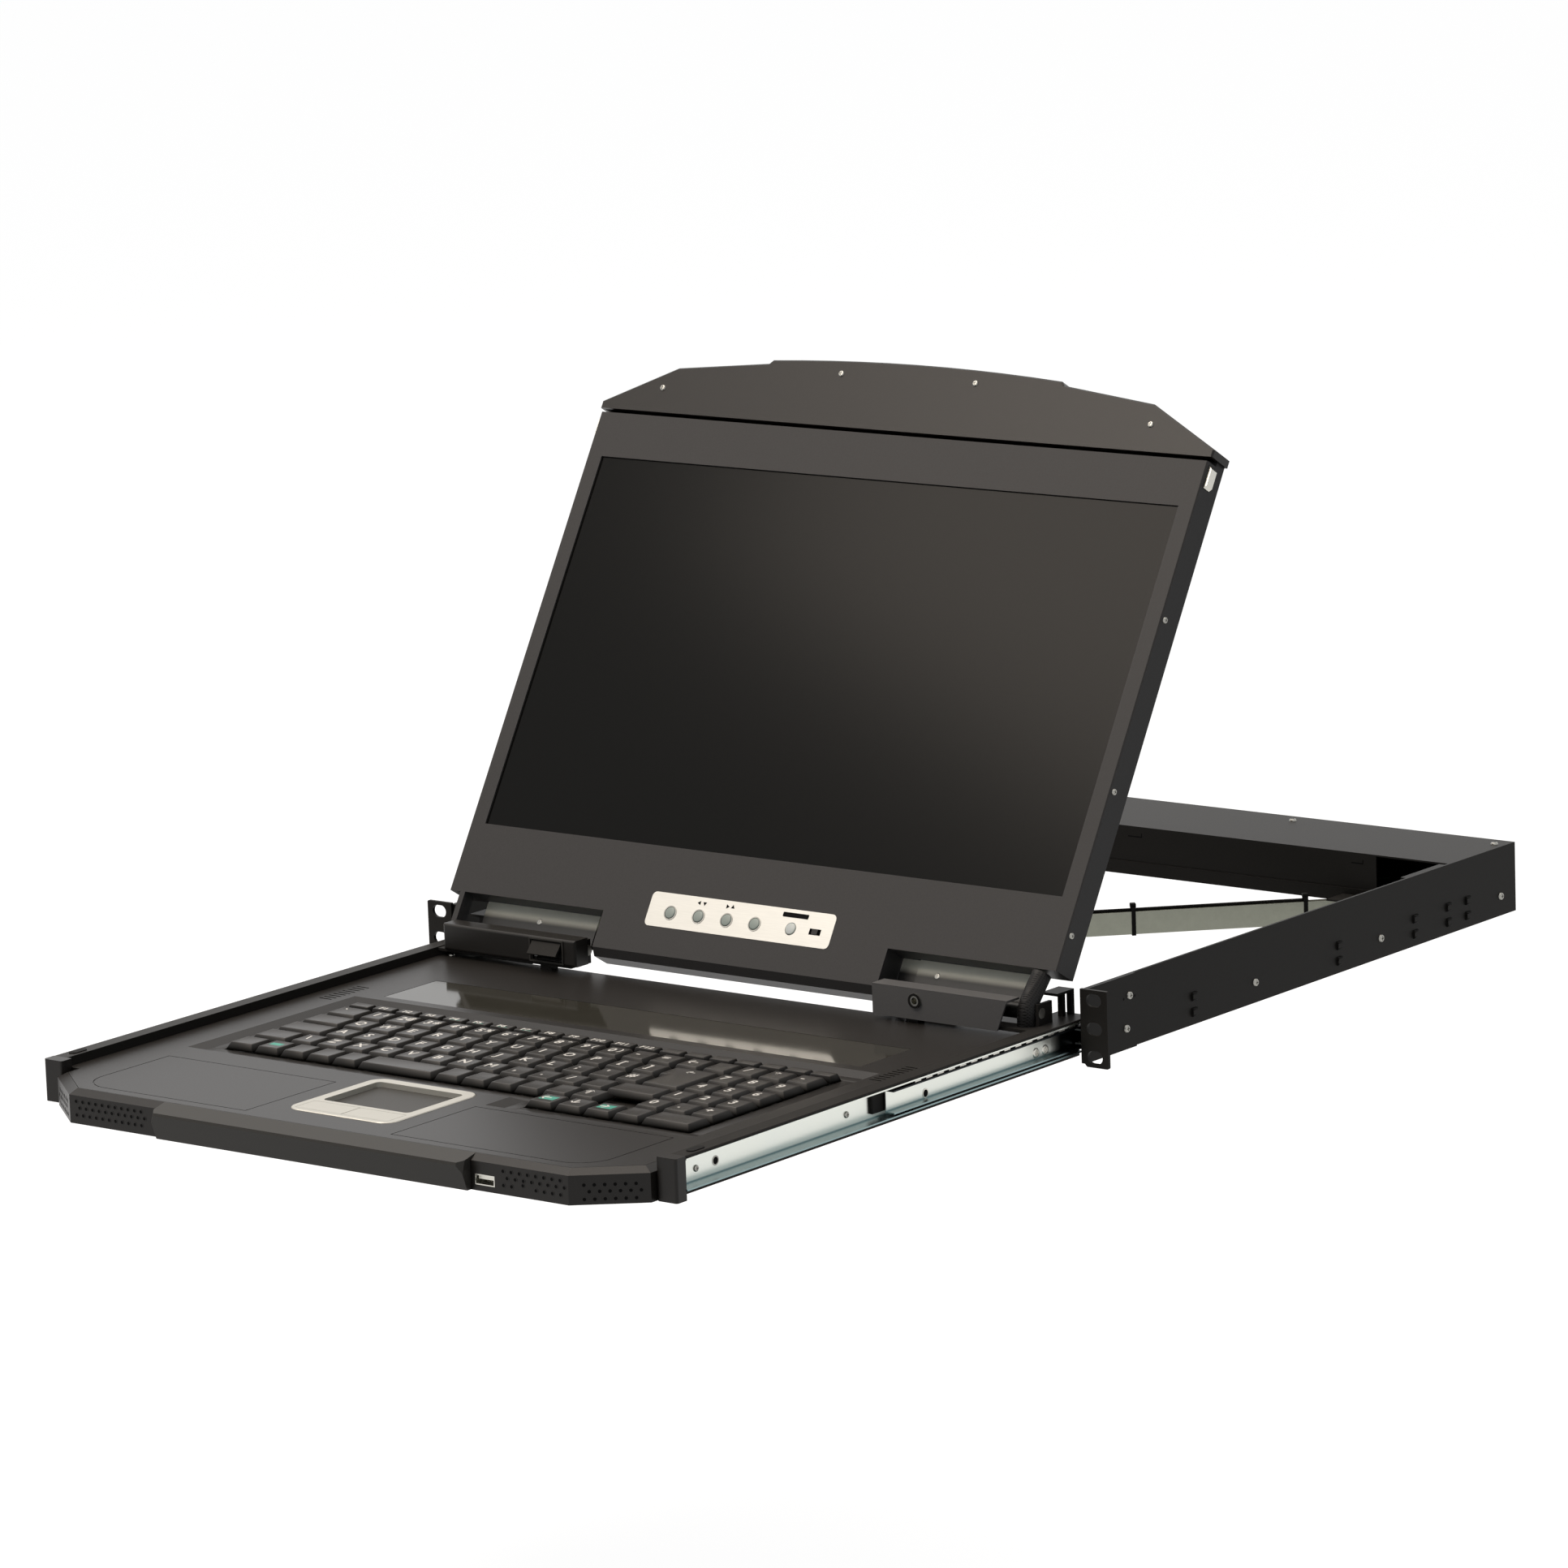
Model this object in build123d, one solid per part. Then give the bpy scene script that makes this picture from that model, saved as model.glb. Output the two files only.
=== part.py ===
"""Rackmount LCD console drawer: a 1U rack chassis, a keyboard drawer on telescopic slides, and a hinged
screen lid. Millimetres, +Z up, +Y to the rear of the rack, origin at the centre of the rack ears' rear face.
It is modelled as it stands in use: the drawer pulled out and the screen leaning back."""
from build123d import *
import os
from math import acos, cos, degrees, radians, sin, tan

os.makedirs("parts", exist_ok=True)

# Rack panel, to the 19 inch rack standard
panel_width = 482.6
rack_hole_inset = 8.75
rack_hole_rise = 31.75
ear_width = 17.8
ear_height = 43.2
ear_thickness = 2.0
ear_corner_cut = 3.6
ear_corner_radius = 1.0
slot_length = 10.0
slot_height = 7.2
ear_flange_length = 48.0
ear_flange_thickness = 1.5

# Chassis: two side plates and the electronics box between them at the rear
plate_thickness = 1.5
plate_height = 41.2
sheet = 1.0
box_depth = 70.0
drawer_room = 27.0
box_floor_z = -9.0
box_lip_height = 8.0
box_lap = 2.0
lip_width = 3.6
lip_length = 41.0
hook_spacing = 9.0
hook_window = 5.0
hook_reach = 1.4
plate_screw_z = -9.0
screw_radius = 2.8
screw_head = 1.2
cable_gate_width = 50.0

# Telescopic slides: drawer rail, middle rail and chassis rail nest in this gap on each side
slide_gap = 11.0
rail_rim_gap = 0.2
rail_sheet = 0.8
rail_end = 4.0
drawer_rail_height = 17.0
ball_gap = 1.3
ball_radius = 0.6
ball_pitch = 10.0
rail_clearance = 1.0
middle_web = 3.0
middle_rail_short = 11.0
cage_thickness = 0.5
cage_width = 3.0
cage_length = 152.0
cage_setback = 16.5

# Drawer tray
drawer_reach = 341.0
travel_short = 1.0
tray_sheet = 1.2
tray_bottom = -20.4
rim_top = 3.0
rim_overhang = 8.5
tray_arm_end = 13.5
arm_shelf_width = 12.0
deck_rear = -22.0
deck_top = -2.0
deck_thickness = 2.5
fit_gap = 0.3
block_depth = 8.0
bumper_length = 12.0
bumper_width = 5.0
bumper_height = 0.5
bumper_setback = 14.0

# Front bezel and handle
bezel_depth = 38.0
bezel_side_gap = 5.0
facet_width = 33.0
facet_depth = 26.0
bezel_bevel_run = 5.0
bezel_bevel_drop = 2.8
bezel_wall = 7.0
bezel_floor = 1.5
handle_end_gap = 65.0
handle_reach = 8.0
handle_drop = 3.0
handle_undercut = 5.0
usb_clear = 9.5
usb_z = -14.4
usb_width = 13.1
usb_height = 5.7
usb_depth = 14.0
usb_shell = 0.6

# Touchpad
pad_x = -6.5
pad_setback = 27.0
pad_side_margin = 6.5
pad_rear_margin = 7.0
pad_frame_radius = 9.0
pad_frame_proud = 0.4
pad_well_width = 60.0
pad_well_depth = 46.0
pad_well_setback = 23.0
pad_well_radius = 3.0
pad_sensor_thickness = 1.6
pad_button_margin = 5.0
pad_button_bar = 3.75
pad_button_gap = 0.25

# Keyboard
function_key_count = 20
number_key_count = 17
letter_key_count = 12
left_key_count = 4
right_key_count = 6
arrow_key_count = 4
pad_key_count = 3
key_row_count = 6
keyboard_x = 1.7
keyboard_side_margin = 38.5
arrow_lap = 3.5
keys_to_window = 21.2
function_row_depth = 10.5
key_gap = 1.2
key_top = -0.5
key_height = 4.0
key_taper = 1.7
key_stem = 3.0
stem_gap = 0.15
stem_length = 4.2
recess_depth = 5.0
recess_margin = 3.0
recess_slope_run = 11.0
skirt = 1.5
keyboard_plate = 1.5

# Deck trim
window_inset = 41.5
window_setback = 59.5
window_depth = 45.5
window_thickness = 1.0
vent_inset = 15.8
vent_setback = 109.0
vent_slot_length = 9.0
vent_slot_width = 1.4
vent_pitch = 4.0
vent_count = 9
palm_groove = 0.6
palm_groove_depth = 0.4
palm_inset = 28.0
palm_pad_gap = 14.0
palm_front_gap = 12.0
palm_rear_gap = 18.0
palm_arrow_gap = 5.0
palm_radius = 20.0

# Hinge line and lid, measured from the hinge axis up the lid
hinge_setback = 3.6
hinge_z = 9.6
lid_lean = 31.06
lid_side_gap = 6.5
lid_thickness = 17.0
axis_to_screen = 6.0
screen_side = 10.6
screen_height = 230.4
screen_foot = 65.0
screen_above = 27.6
screen_rim = 4.0
screen_thickness = 8.0
lid_sheet = 1.2
lid_parting = 9.0
lid_edge_chamfer = 0.7
notch_width = 114.5
notch_head = 23.0
tab_foot = -3.3
tab_chamfer = 4.3
lid_cheek_width = 3.6
lid_cheek_radius = 5.5
groove = 2.5
handle_plate_proud = 1.9
handle_plate_wall = 2.2
arch_shoulder_run = 48.4
arch_shoulder_rise = 31.0
arch_step_x = 105.0
arch_step_rise = 38.0
arch_step = 2.4
arch_crown = 3.6
arch_end_rise = 7.0

# Hinges
pin_radius = 3.0
pin_fit = 0.05
knuckle_radius = 4.5
leaf_inset = 13.0
leaf_end_gap = 12.8
leaf_thickness = 1.2
leaf_lap = 14.0
gusset = 2.0
gusset_reach = 2.0
strip_z = 1.0
strip_lap = 9.0
strip_tail = 2.0
strip_thickness = 1.5
inner_cheek_gap = 1.5
cheek_thickness = 2.0
cheek_top = 15.0
cheek_foot = -14.0
cheek_tail = 13.0
post_inset = 24.5
post_width = 8.0
post_depth = 6.0
table_top = 17.0
table_sheet = 1.5
table_width = 10.2
table_inset = 1.1
table_front = -2.5
table_leg = 3.0

# Hinge covers
cover_lap = 11.0
cover_depth = 11.5
cover_rise = 8.3
cover_inset = 4.5
cover_end_gap = 6.3
cover_wall = 2.0
cover_radius = 3.0
flap_inset = 21.0
flap_width = 21.0
flap_length = 9.0
flap_thickness = 1.2
flap_open = 40.0
flap_opening_height = 12.0
flap_pivot_drop = 2.6
flap_gap = 0.25
flap_pin_radius = 0.5
flap_pin_length = 0.8
right_cover_end_gap = 12.8
right_cover_slant = 7.0
right_cover_foot = 0.4
right_cover_sheet = 1.2
jack_inset = 29.3
jack_z = 11.0
jack_radius = 4.0
jack_length = 9.0
sleeve_inset = 6.8
sleeve_radius = 4.5
sleeve_foot = 6.0
sleeve_depth = 4.0

# Screen controls
button_height = 26.6
button_radius = 4.2
button_gap = 0.25
button_proud = 0.9
button_flange = 1.0
button_flange_drop = 1.4
button_share = (-0.5317, -0.3317, -0.1337, 0.0644)
power_button_share = 0.3168
switch_share = 0.4861
switch_width = 4.0
switch_height = 3.0
control_board_height = 16.0
control_board_lap = 15.0
control_stud_step = 4.0
switch_travel = 3.0
board_thickness = 1.6
board_depth = 4.6
catch_height = 13.0
catch_drop = 8.5
catch_depth = 6.0
catch_proud = 2.0
catch_length = 10.0
catch_gap = 0.4

# Electronics box contents
board_rise = 4.0
board_margin = 8.0
board_gap = 10.0
board_inset = 72.0
spacer_radius = 2.5
spacer_inset = 6.0
supply_inset = 8.0
supply_width = 124.0
supply_height = 20.0
supply_front_gap = 4.0
supply_rear_gap = 26.0
inlet_inset = 30.0
inlet_z = 6.0
inlet_width = 27.0
inlet_height = 20.0
inlet_body_depth = 20.0
inlet_flange = 2.0
rocker_step = 34.0
rocker_width = 9.0
rocker_radius = 6.4
rocker_gap = 0.3
rocker_wall = 2.0
rocker_sink = 3.0
port_z = 4.0

# Cable arm: two equal links folding between the electronics box and the drawer's rear
arm_inset = 52.0
arm_rear_gap = 11.0
arm_front_y = 3.0
arm_open_angle = 46.05
arm_top = -5.9
arm_foot = -19.4
arm_pin_radius = 2.5
arm_eye_radius = 4.5
arm_web = 1.4
arm_offset = 3.0
arm_flange = 5.0
arm_eye_gap = 0.3
arm_lug = 1.0
arm_lug_half = 10.0
arm_cable_radius = 2.0
tie_width = 3.0
tie_thickness = 0.7

# Values that follow: across the rack
chassis_width = panel_width - 2 * ear_width
rack_hole_span = panel_width - 2 * rack_hole_inset
plate_outer = chassis_width / 2
plate_inner = plate_outer - plate_thickness
drawer_half = plate_inner - slide_gap
tray_inner = drawer_half - tray_sheet
deck_half = tray_inner - fit_gap
bezel_half = drawer_half - bezel_side_gap
facet_half = bezel_half - facet_width
lid_half = plate_inner - lid_side_gap
notch_inner = lid_half - notch_width
screen_width = 2 * (lid_half - screen_side)
handle_plate_half = lid_half + handle_plate_proud
arch_shoulder_x = handle_plate_half - arch_shoulder_run
button_x = [share * notch_inner for share in button_share]
power_button_x = power_button_share * notch_inner
switch_x = switch_share * notch_inner
window_half = deck_half - window_inset
vent_x = tray_inner - vent_inset
palm_outer = bezel_half - palm_inset
handle_half = facet_half - handle_end_gap
usb_x = handle_half + usb_clear
arm_x = drawer_half - arm_inset

# Values that follow: along the drawer
drawer_travel = drawer_reach - travel_short
chassis_depth = drawer_reach + drawer_room + box_depth
box_front = chassis_depth - box_depth
middle_rail_length = drawer_reach - middle_rail_short
bezel_front = -drawer_reach - bezel_depth
arm_rear_y = box_front - arm_rear_gap
pad_frame_width = pad_well_width + 2 * pad_side_margin
pad_frame_depth = pad_well_setback + pad_well_depth + pad_rear_margin
pad_button_width = pad_frame_width / 2 - pad_button_margin
pad_button_depth = pad_well_setback - 2 * pad_button_bar
pad_front = bezel_front + pad_setback
pad_rear = pad_front + pad_frame_depth
window_rear = deck_rear - window_setback
vent_y = deck_rear - vent_setback
keyboard_front = pad_rear - arrow_lap
keyboard_rear = window_rear - window_depth - keys_to_window
keyboard_width = 2 * (deck_half - keyboard_side_margin)
keyboard_left = keyboard_x - keyboard_width / 2
key_pitch_y = (keyboard_rear - function_row_depth - keyboard_front) / key_row_count

# Values that follow: heights
plate_top = plate_height / 2
rail_z = rim_top - tray_sheet - rail_rim_gap - drawer_rail_height / 2
deck_bottom = deck_top - deck_thickness
bezel_top = deck_top - bezel_bevel_drop
recess_floor = deck_top - recess_depth
cover_top = hinge_z + cover_rise

# Values that follow: hinge line
hinge_y = deck_rear + hinge_setback
strip_front = deck_rear - strip_lap
strip_rear = deck_rear + strip_tail
cheek_rear = deck_rear + cheek_tail
cover_front = deck_rear - cover_lap
knuckle_inner = notch_inner + leaf_inset
knuckle_outer = tray_inner - leaf_end_gap
inner_cheek_x = knuckle_inner - inner_cheek_gap - cheek_thickness
cover_inner = notch_inner + cover_inset
cover_outer = tray_inner - cover_end_gap
right_cover_outer = tray_inner - right_cover_end_gap
flap_x = -cover_inner - flap_inset
jack_x = cover_inner + jack_inset
post_x = cover_inner + post_inset
sleeve_x = tray_inner - sleeve_inset

# Values that follow: lid
lid_front = axis_to_screen
lid_back = axis_to_screen - lid_thickness
lid_part_line = lid_front - lid_parting
panel_face = lid_front - lid_sheet
lid_head = screen_foot + screen_height + screen_above
catch_y = lid_head - catch_drop
catch_low = lid_part_line + catch_gap
lid_frame = Plane(origin=(0, hinge_y, hinge_z), x_dir=(1, 0, 0),
                  z_dir=(0, -cos(radians(lid_lean)), sin(radians(lid_lean))))

# Values that follow: electronics box and cable arm
inlet_x = -plate_inner + inlet_inset
rocker_x = inlet_x + rocker_step
supply_x = (-plate_inner + supply_inset, -plate_inner + supply_inset + supply_width)
control_board_x = (supply_x[1] + board_gap, plate_inner - board_inset)
arm_span = arm_rear_y - arm_front_y
arm_length = arm_span / 2 / cos(radians(arm_open_angle))


def slab(x, y, z):
    """A box from its low and high limits on each axis."""
    size = [high - low for low, high in (x, y, z)]
    middle = [(low + high) / 2 for low, high in (x, y, z)]
    return Pos(*middle) * Box(*size)


def mirrored(part):
    """The same piece on the other side of the centre line."""
    return mirror(part, Plane.YZ)


def pair(part):
    """Right-hand piece and its left-hand twin, as two solids."""
    return Compound(children=[solid for half in (part, mirrored(part)) for solid in half.solids()])


def group(parts):
    """Several separate solids of one kind."""
    return Compound(children=[solid for part in parts for solid in part.solids()])


def rod_x(x, y, z, radius):
    """A cylinder along X between two x limits."""
    return Pos((x[0] + x[1]) / 2, y, z) * Rot(Y=90) * Cylinder(radius, x[1] - x[0])


def rod_y(x, y, z, radius):
    """A cylinder along Y between two y limits."""
    return Pos(x, (y[0] + y[1]) / 2, z) * Rot(X=90) * Cylinder(radius, y[1] - y[0])


def post(x, y, z, radius):
    """A cylinder along Z between two z limits."""
    return Pos(x, y, (z[0] + z[1]) / 2) * Cylinder(radius, z[1] - z[0])


def prism(points, low, high):
    """A plan outline raised between two heights."""
    return Pos(0, 0, low) * extrude(make_face(Polyline(*points, close=True)), high - low)


def prism_x(points, low, high):
    """A side profile of (y, z) points carried along X."""
    face = Plane.YZ * make_face(Polyline(*points, close=True))
    return Pos(low, 0, 0) * extrude(face, high - low, dir=(1, 0, 0))


# Chassis
hook_rows = [chassis_depth * share for share in (0.241, 0.572, 0.753, 0.834, 0.881)]
hook_z = (-hook_spacing / 2 + plate_screw_z, hook_spacing / 2 + plate_screw_z)
plate_screw_y = [chassis_depth * share for share in (0.379, 0.671, 0.963)]
ear_screws = ((ear_flange_length - 9.3, plate_screw_z), (ear_flange_length - 5.8, -plate_screw_z))


def right_side_plate():
    y = (0, chassis_depth)
    plate = slab((plate_inner, plate_outer), y, (-plate_top, plate_top))
    lip_rear = box_front - box_lap - lip_width / 2
    plate += slab((plate_inner - lip_width, plate_inner), (lip_rear - lip_length, lip_rear),
                  (plate_top - plate_thickness, plate_top))
    half = hook_window / 2
    hook_tip = plate_outer + hook_reach
    for hook_y in hook_rows:
        for z in hook_z:
            plate -= slab((plate_inner - 1, plate_outer + 1), span(hook_y, hook_window), span(z, hook_window))
            tall = span(z, half)
            root = slab((plate_inner, hook_tip), (hook_y + half / 5, hook_y + half), tall)
            tip = slab((hook_tip - hook_reach / 2, hook_tip), span(hook_y, hook_window), tall)
            plate += root + tip
    return plate


def right_rack_ear():
    top = ear_height / 2
    face = slab((plate_outer, panel_width / 2), (-ear_thickness, 0), (-top, top))
    corners = face.edges().filter_by(Axis.Y).sort_by(Axis.Z)
    inner_low = corners[:2].sort_by(Axis.X)[0]
    face = chamfer(inner_low, ear_corner_cut)
    outer = face.edges().filter_by(Axis.Y).group_by(Axis.X)[-1]
    face = fillet(outer, ear_corner_radius)
    for z in (-rack_hole_rise / 2, 0, rack_hole_rise / 2):
        slot = extrude(SlotOverall(slot_length, slot_height), ear_thickness, both=True)
        face -= Pos(rack_hole_span / 2, -ear_thickness / 2, z) * Rot(X=90) * slot
    flange = slab((plate_outer, plate_outer + ear_flange_thickness), (0, ear_flange_length),
                  (-plate_top, plate_top))
    return face + flange


def chassis_screws():
    heads = []
    for y in plate_screw_y:
        heads.append(rod_x((plate_outer, plate_outer + screw_head), y, plate_screw_z, screw_radius))
    flange_face = plate_outer + ear_flange_thickness
    for y, z in ear_screws:
        heads.append(rod_x((flange_face, flange_face + screw_head), y, z, screw_radius))
    for x in (plate_inner / 3, plate_inner - 2 * screw_radius):
        y = chassis_depth - 4 * screw_radius
        heads.append(post(x, y, (plate_top, plate_top + screw_head), screw_radius))
    return pair(group(heads))


def rear_box_pan():
    wide = (-plate_inner, plate_inner)
    lip_top = box_floor_z + box_lip_height
    pan = slab(wide, (box_front - sheet, chassis_depth), (box_floor_z, box_floor_z + sheet))
    pan += slab(wide, (box_front - sheet, box_front), (box_floor_z, lip_top))
    pan += slab(wide, (chassis_depth - sheet, chassis_depth), (box_floor_z, plate_top - sheet))
    rear = (chassis_depth - 2 * sheet, chassis_depth + sheet)
    pan -= slab(span(inlet_x, inlet_width), rear, span(inlet_z, inlet_height))
    pan -= slab(span(rocker_x, rocker_outer_width), rear, span(inlet_z, rocker_outer_height))
    for x, width, height in port_sizes:
        pan -= slab(span(x, width), rear, span(port_z, height))
    lug_z = (arm_top + arm_eye_gap, arm_top + arm_eye_gap + arm_lug)
    lug_front = arm_rear_y - arm_lug_half / 2 - arm_pin_radius
    pan += slab(span(arm_x, 2 * arm_lug_half), (lug_front, box_front), lug_z)
    pan += post(arm_x, arm_rear_y, (arm_foot, lug_z[1]), arm_pin_radius)
    return pan


def span(middle, width):
    """Low and high limits about a middle."""
    return (middle - width / 2, middle + width / 2)


rocker_outer_width = rocker_width + 2 * (rocker_gap + rocker_wall)
rocker_outer_height = 2 * (rocker_radius + rocker_gap + rocker_wall)
board_y = (box_front + board_margin, chassis_depth - board_margin)
port_sizes = ((-60.0, 31.0, 12.5), (-15.0, usb_width, usb_height), (5.0, usb_width, usb_height),
              (60.0, 31.0, 12.5))


def rear_box_cover():
    """The lid of the box, with a front flange that stops short of the right side to let the cables in."""
    lip_top = box_floor_z + box_lip_height
    cover = slab((-plate_inner, plate_inner), (box_front, chassis_depth), (plate_top - sheet, plate_top))
    front = slab((-plate_inner, plate_inner - cable_gate_width), (box_front, box_front + sheet),
                 (lip_top - box_lap, plate_top - sheet))
    return cover + front


def control_board():
    """A circuit board on four spacers, with its chips in a row."""
    floor = box_floor_z + sheet
    low = floor + board_rise
    top = low + board_thickness
    board = slab(control_board_x, board_y, (low, top))
    for x in (control_board_x[0] + spacer_inset, control_board_x[1] - spacer_inset):
        for y in (board_y[0] + spacer_inset, board_y[1] - spacer_inset):
            board += post(x, y, (floor, low), spacer_radius)
    width = control_board_x[1] - control_board_x[0]
    chips = ((24.0, 2.2), (16.0, 1.6), (20.0, 2.0), (18.0, 6.0))
    for place, (side, height) in enumerate(chips):
        x = control_board_x[0] + width * (place + 0.5) / len(chips)
        board += slab(span(x, side), span(sum(board_y) / 2, side), (top, top + height))
    return board


def power_supply():
    low = box_floor_z + sheet
    y = (box_front + supply_front_gap, chassis_depth - supply_rear_gap)
    return slab(supply_x, y, (low, low + supply_height))


def mains_inlet():
    face = chassis_depth + inlet_flange
    body = slab(span(inlet_x, inlet_width - 0.2), (chassis_depth - inlet_body_depth, chassis_depth),
                span(inlet_z, inlet_height - 0.2))
    body += slab(span(inlet_x, inlet_width + 4), (chassis_depth, face), span(inlet_z, inlet_height + 4))
    body -= slab(span(inlet_x, inlet_width - 4), (face - 15, face + 1), span(inlet_z, inlet_height - 4))
    for x, z in ((-7, -2), (7, -2), (0, 2)):
        body += slab(span(inlet_x + x, 2), (face - 16, face - 3), span(inlet_z + z, 4))
    outer = slab(span(rocker_x, rocker_outer_width - 0.2), (chassis_depth - 12, chassis_depth),
                 span(inlet_z, rocker_outer_height - 0.2))
    outer += slab(span(rocker_x, rocker_outer_width + 2), (chassis_depth, chassis_depth + inlet_flange),
                  span(inlet_z, rocker_outer_height + 2))
    hollow = slab(span(rocker_x, rocker_width + 2 * rocker_gap), (rocker_y, face + 1),
                  span(inlet_z, 2 * (rocker_radius + rocker_gap)))
    bore = rocker_radius + rocker_gap
    hollow += rod_x(span(rocker_x, rocker_width + 2 * rocker_gap), rocker_y, inlet_z, bore)
    return group([body, outer - hollow])


rocker_y = chassis_depth - rocker_sink


def power_rocker():
    rocker = rod_x(span(rocker_x, rocker_width), rocker_y, inlet_z, rocker_radius)
    for tilt in (-4, 24):
        cut = slab(span(rocker_x, 2 * rocker_width), (0, rocker_radius), span(0, 4 * rocker_radius))
        rocker -= Pos(0, rocker_y + 1.2 * rocker_sink, inlet_z) * Rot(X=tilt) * cut
    return rocker


def rear_ports():
    ports = []
    for x, width, height in port_sizes:
        outer = slab(span(x, width - 0.2), (chassis_depth - 8, chassis_depth + 5), span(port_z, height - 0.2))
        if width > 20:
            outer = fillet(outer.edges().filter_by(Axis.Y), 3)
        outer -= slab(span(x, width - 1.6), (chassis_depth - 4, chassis_depth + 6), span(port_z, height - 1.6))
        tongue = span(port_z - height / 10, height / 4)
        outer += slab(span(x, width - 4), (chassis_depth - 5, chassis_depth + 3), tongue)
        ports.append(outer)
    return group(ports)


# Telescopic slides
def rail(y, web, tip, half_height, sheet_thickness):
    """A C channel along Y. Its web and flange tips are distances out from the tray's side."""
    low, high = drawer_half + min(web, tip), drawer_half + max(web, tip)
    z = (rail_z - half_height, rail_z + half_height)
    channel = slab((low, high), y, z)
    web_edges = channel.edges().filter_by(Axis.Y).group_by(Axis.X)[0 if web < tip else -1]
    channel = fillet(web_edges, sheet_thickness)
    open_low = low + sheet_thickness if web < tip else low - 1
    open_high = high + 1 if web < tip else high - sheet_thickness
    inside = (z[0] + sheet_thickness, z[1] - sheet_thickness)
    return channel - slab((open_low, open_high), (y[0] - 1, y[1] + 1), inside)


drawer_rail_half = drawer_rail_height / 2
middle_rail_half = drawer_rail_half - rail_sheet - ball_gap
chassis_rail_half = middle_rail_half - rail_sheet - ball_gap
drawer_rail_tip = slide_gap - rail_sheet - 1.2 * rail_clearance
middle_rail_tip = slide_gap - rail_sheet - rail_clearance
chassis_rail_tip = middle_web + rail_sheet + rail_clearance
drawer_rail_y = (-drawer_reach, rail_end)
middle_rail_front = ear_thickness + 1.5 - drawer_travel / 2
chassis_rail_front = ear_thickness + 1
chassis_rail_y = (chassis_rail_front, chassis_rail_front + drawer_reach + rail_end)


def drawer_rails():
    return pair(rail(drawer_rail_y, 0, drawer_rail_tip, drawer_rail_half, rail_sheet))


def middle_rails():
    y = (middle_rail_front, middle_rail_front + middle_rail_length)
    return pair(rail(y, middle_web, middle_rail_tip, middle_rail_half, rail_sheet))


def chassis_rails():
    return pair(rail(chassis_rail_y, slide_gap, chassis_rail_tip, chassis_rail_half, rail_sheet))


def ball_cage(front, outer_half, across):
    """Two pocketed strips with a six-sided ball in each pocket, above and below the rail that rolls on them."""
    pieces = []
    pocket = 4 * ball_radius
    hexagon = Plane.YZ * RegularPolygon(ball_radius, 6)
    ball = extrude(hexagon, ball_radius / 2, both=True)
    for side in (-1, 1):
        z = rail_z + side * (outer_half + ball_gap / 2)
        middle = drawer_half + across
        strip = slab(span(middle, cage_width), (front, front + cage_length), span(z, cage_thickness))
        for step in range(int((cage_length - ball_pitch / 2) // ball_pitch) + 1):
            y = front + ball_pitch / 2 + step * ball_pitch
            strip -= slab(span(middle, pocket / 1.5), span(y, pocket), span(z, 2 * cage_thickness))
            pieces.append(Pos(middle, y, z) * ball)
        pieces.append(strip)
    return pair(group(pieces))


def front_ball_cages():
    across = (middle_web + drawer_rail_tip) / 2
    return ball_cage(middle_rail_front + cage_setback, middle_rail_half, across)


def rear_ball_cages():
    across = (chassis_rail_tip + middle_rail_tip) / 2
    return ball_cage(chassis_rail_y[0] + 2, chassis_rail_half, across)


# Cable arm
def arm_eye(x, y, z, radius_in):
    return post(x, y, z, arm_eye_radius) - post(x, y, (z[0] - 1, z[1] + 1), radius_in)


def arm_link(side, eye_z, elbow_z):
    """One link along +Y of its own frame, from its eye to the elbow, with a channel on one side."""
    inner = side * arm_offset
    outer = side * (arm_offset + arm_flange)
    web_face = side * (arm_offset + arm_web)
    along = (2.2 * arm_eye_radius, arm_length - 2.2 * arm_eye_radius)
    across = (min(inner, outer), max(inner, outer))
    channel = slab(across, along, (arm_foot, arm_top))
    hollow = (min(web_face, side * 99), max(web_face, side * 99))
    channel -= slab(hollow, (along[0] - 1, along[1] + 1), (arm_foot + arm_web, arm_top - arm_web))
    strap = (min(inner, web_face), max(inner, web_face))
    link = channel
    for y, z in ((0, eye_z), (arm_length, elbow_z)):
        reach = (y, along[0] + 1) if y == 0 else (along[1] - 1, y)
        link += slab(strap, reach, z)
        link += post(0, y, z, arm_eye_radius)
    return link


arm_middle = (arm_top + arm_foot) / 2
arm_upper = (arm_middle + arm_eye_gap / 2, arm_top)
arm_lower = (arm_foot, arm_middle - arm_eye_gap / 2)
arm_pin_hole = arm_pin_radius + pin_fit
rear_arm_frame = Location((arm_x, arm_rear_y, 0), (0, 0, 180 - arm_open_angle))
front_arm_frame = Location((arm_x, arm_front_y, 0), (0, 0, arm_open_angle))


def rear_arm_link():
    link = arm_link(1, (arm_foot, arm_top), arm_lower)
    link -= post(0, 0, (arm_foot - 1, arm_top + 1), arm_pin_hole)
    link += post(0, arm_length, (arm_foot, arm_top), arm_pin_radius)
    return rear_arm_frame * link


def front_arm_link():
    link = arm_link(-1, arm_upper, arm_upper)
    for y in (0, arm_length):
        link -= post(0, y, (arm_foot - 1, arm_top + 1), arm_pin_hole)
    return front_arm_frame * link


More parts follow.
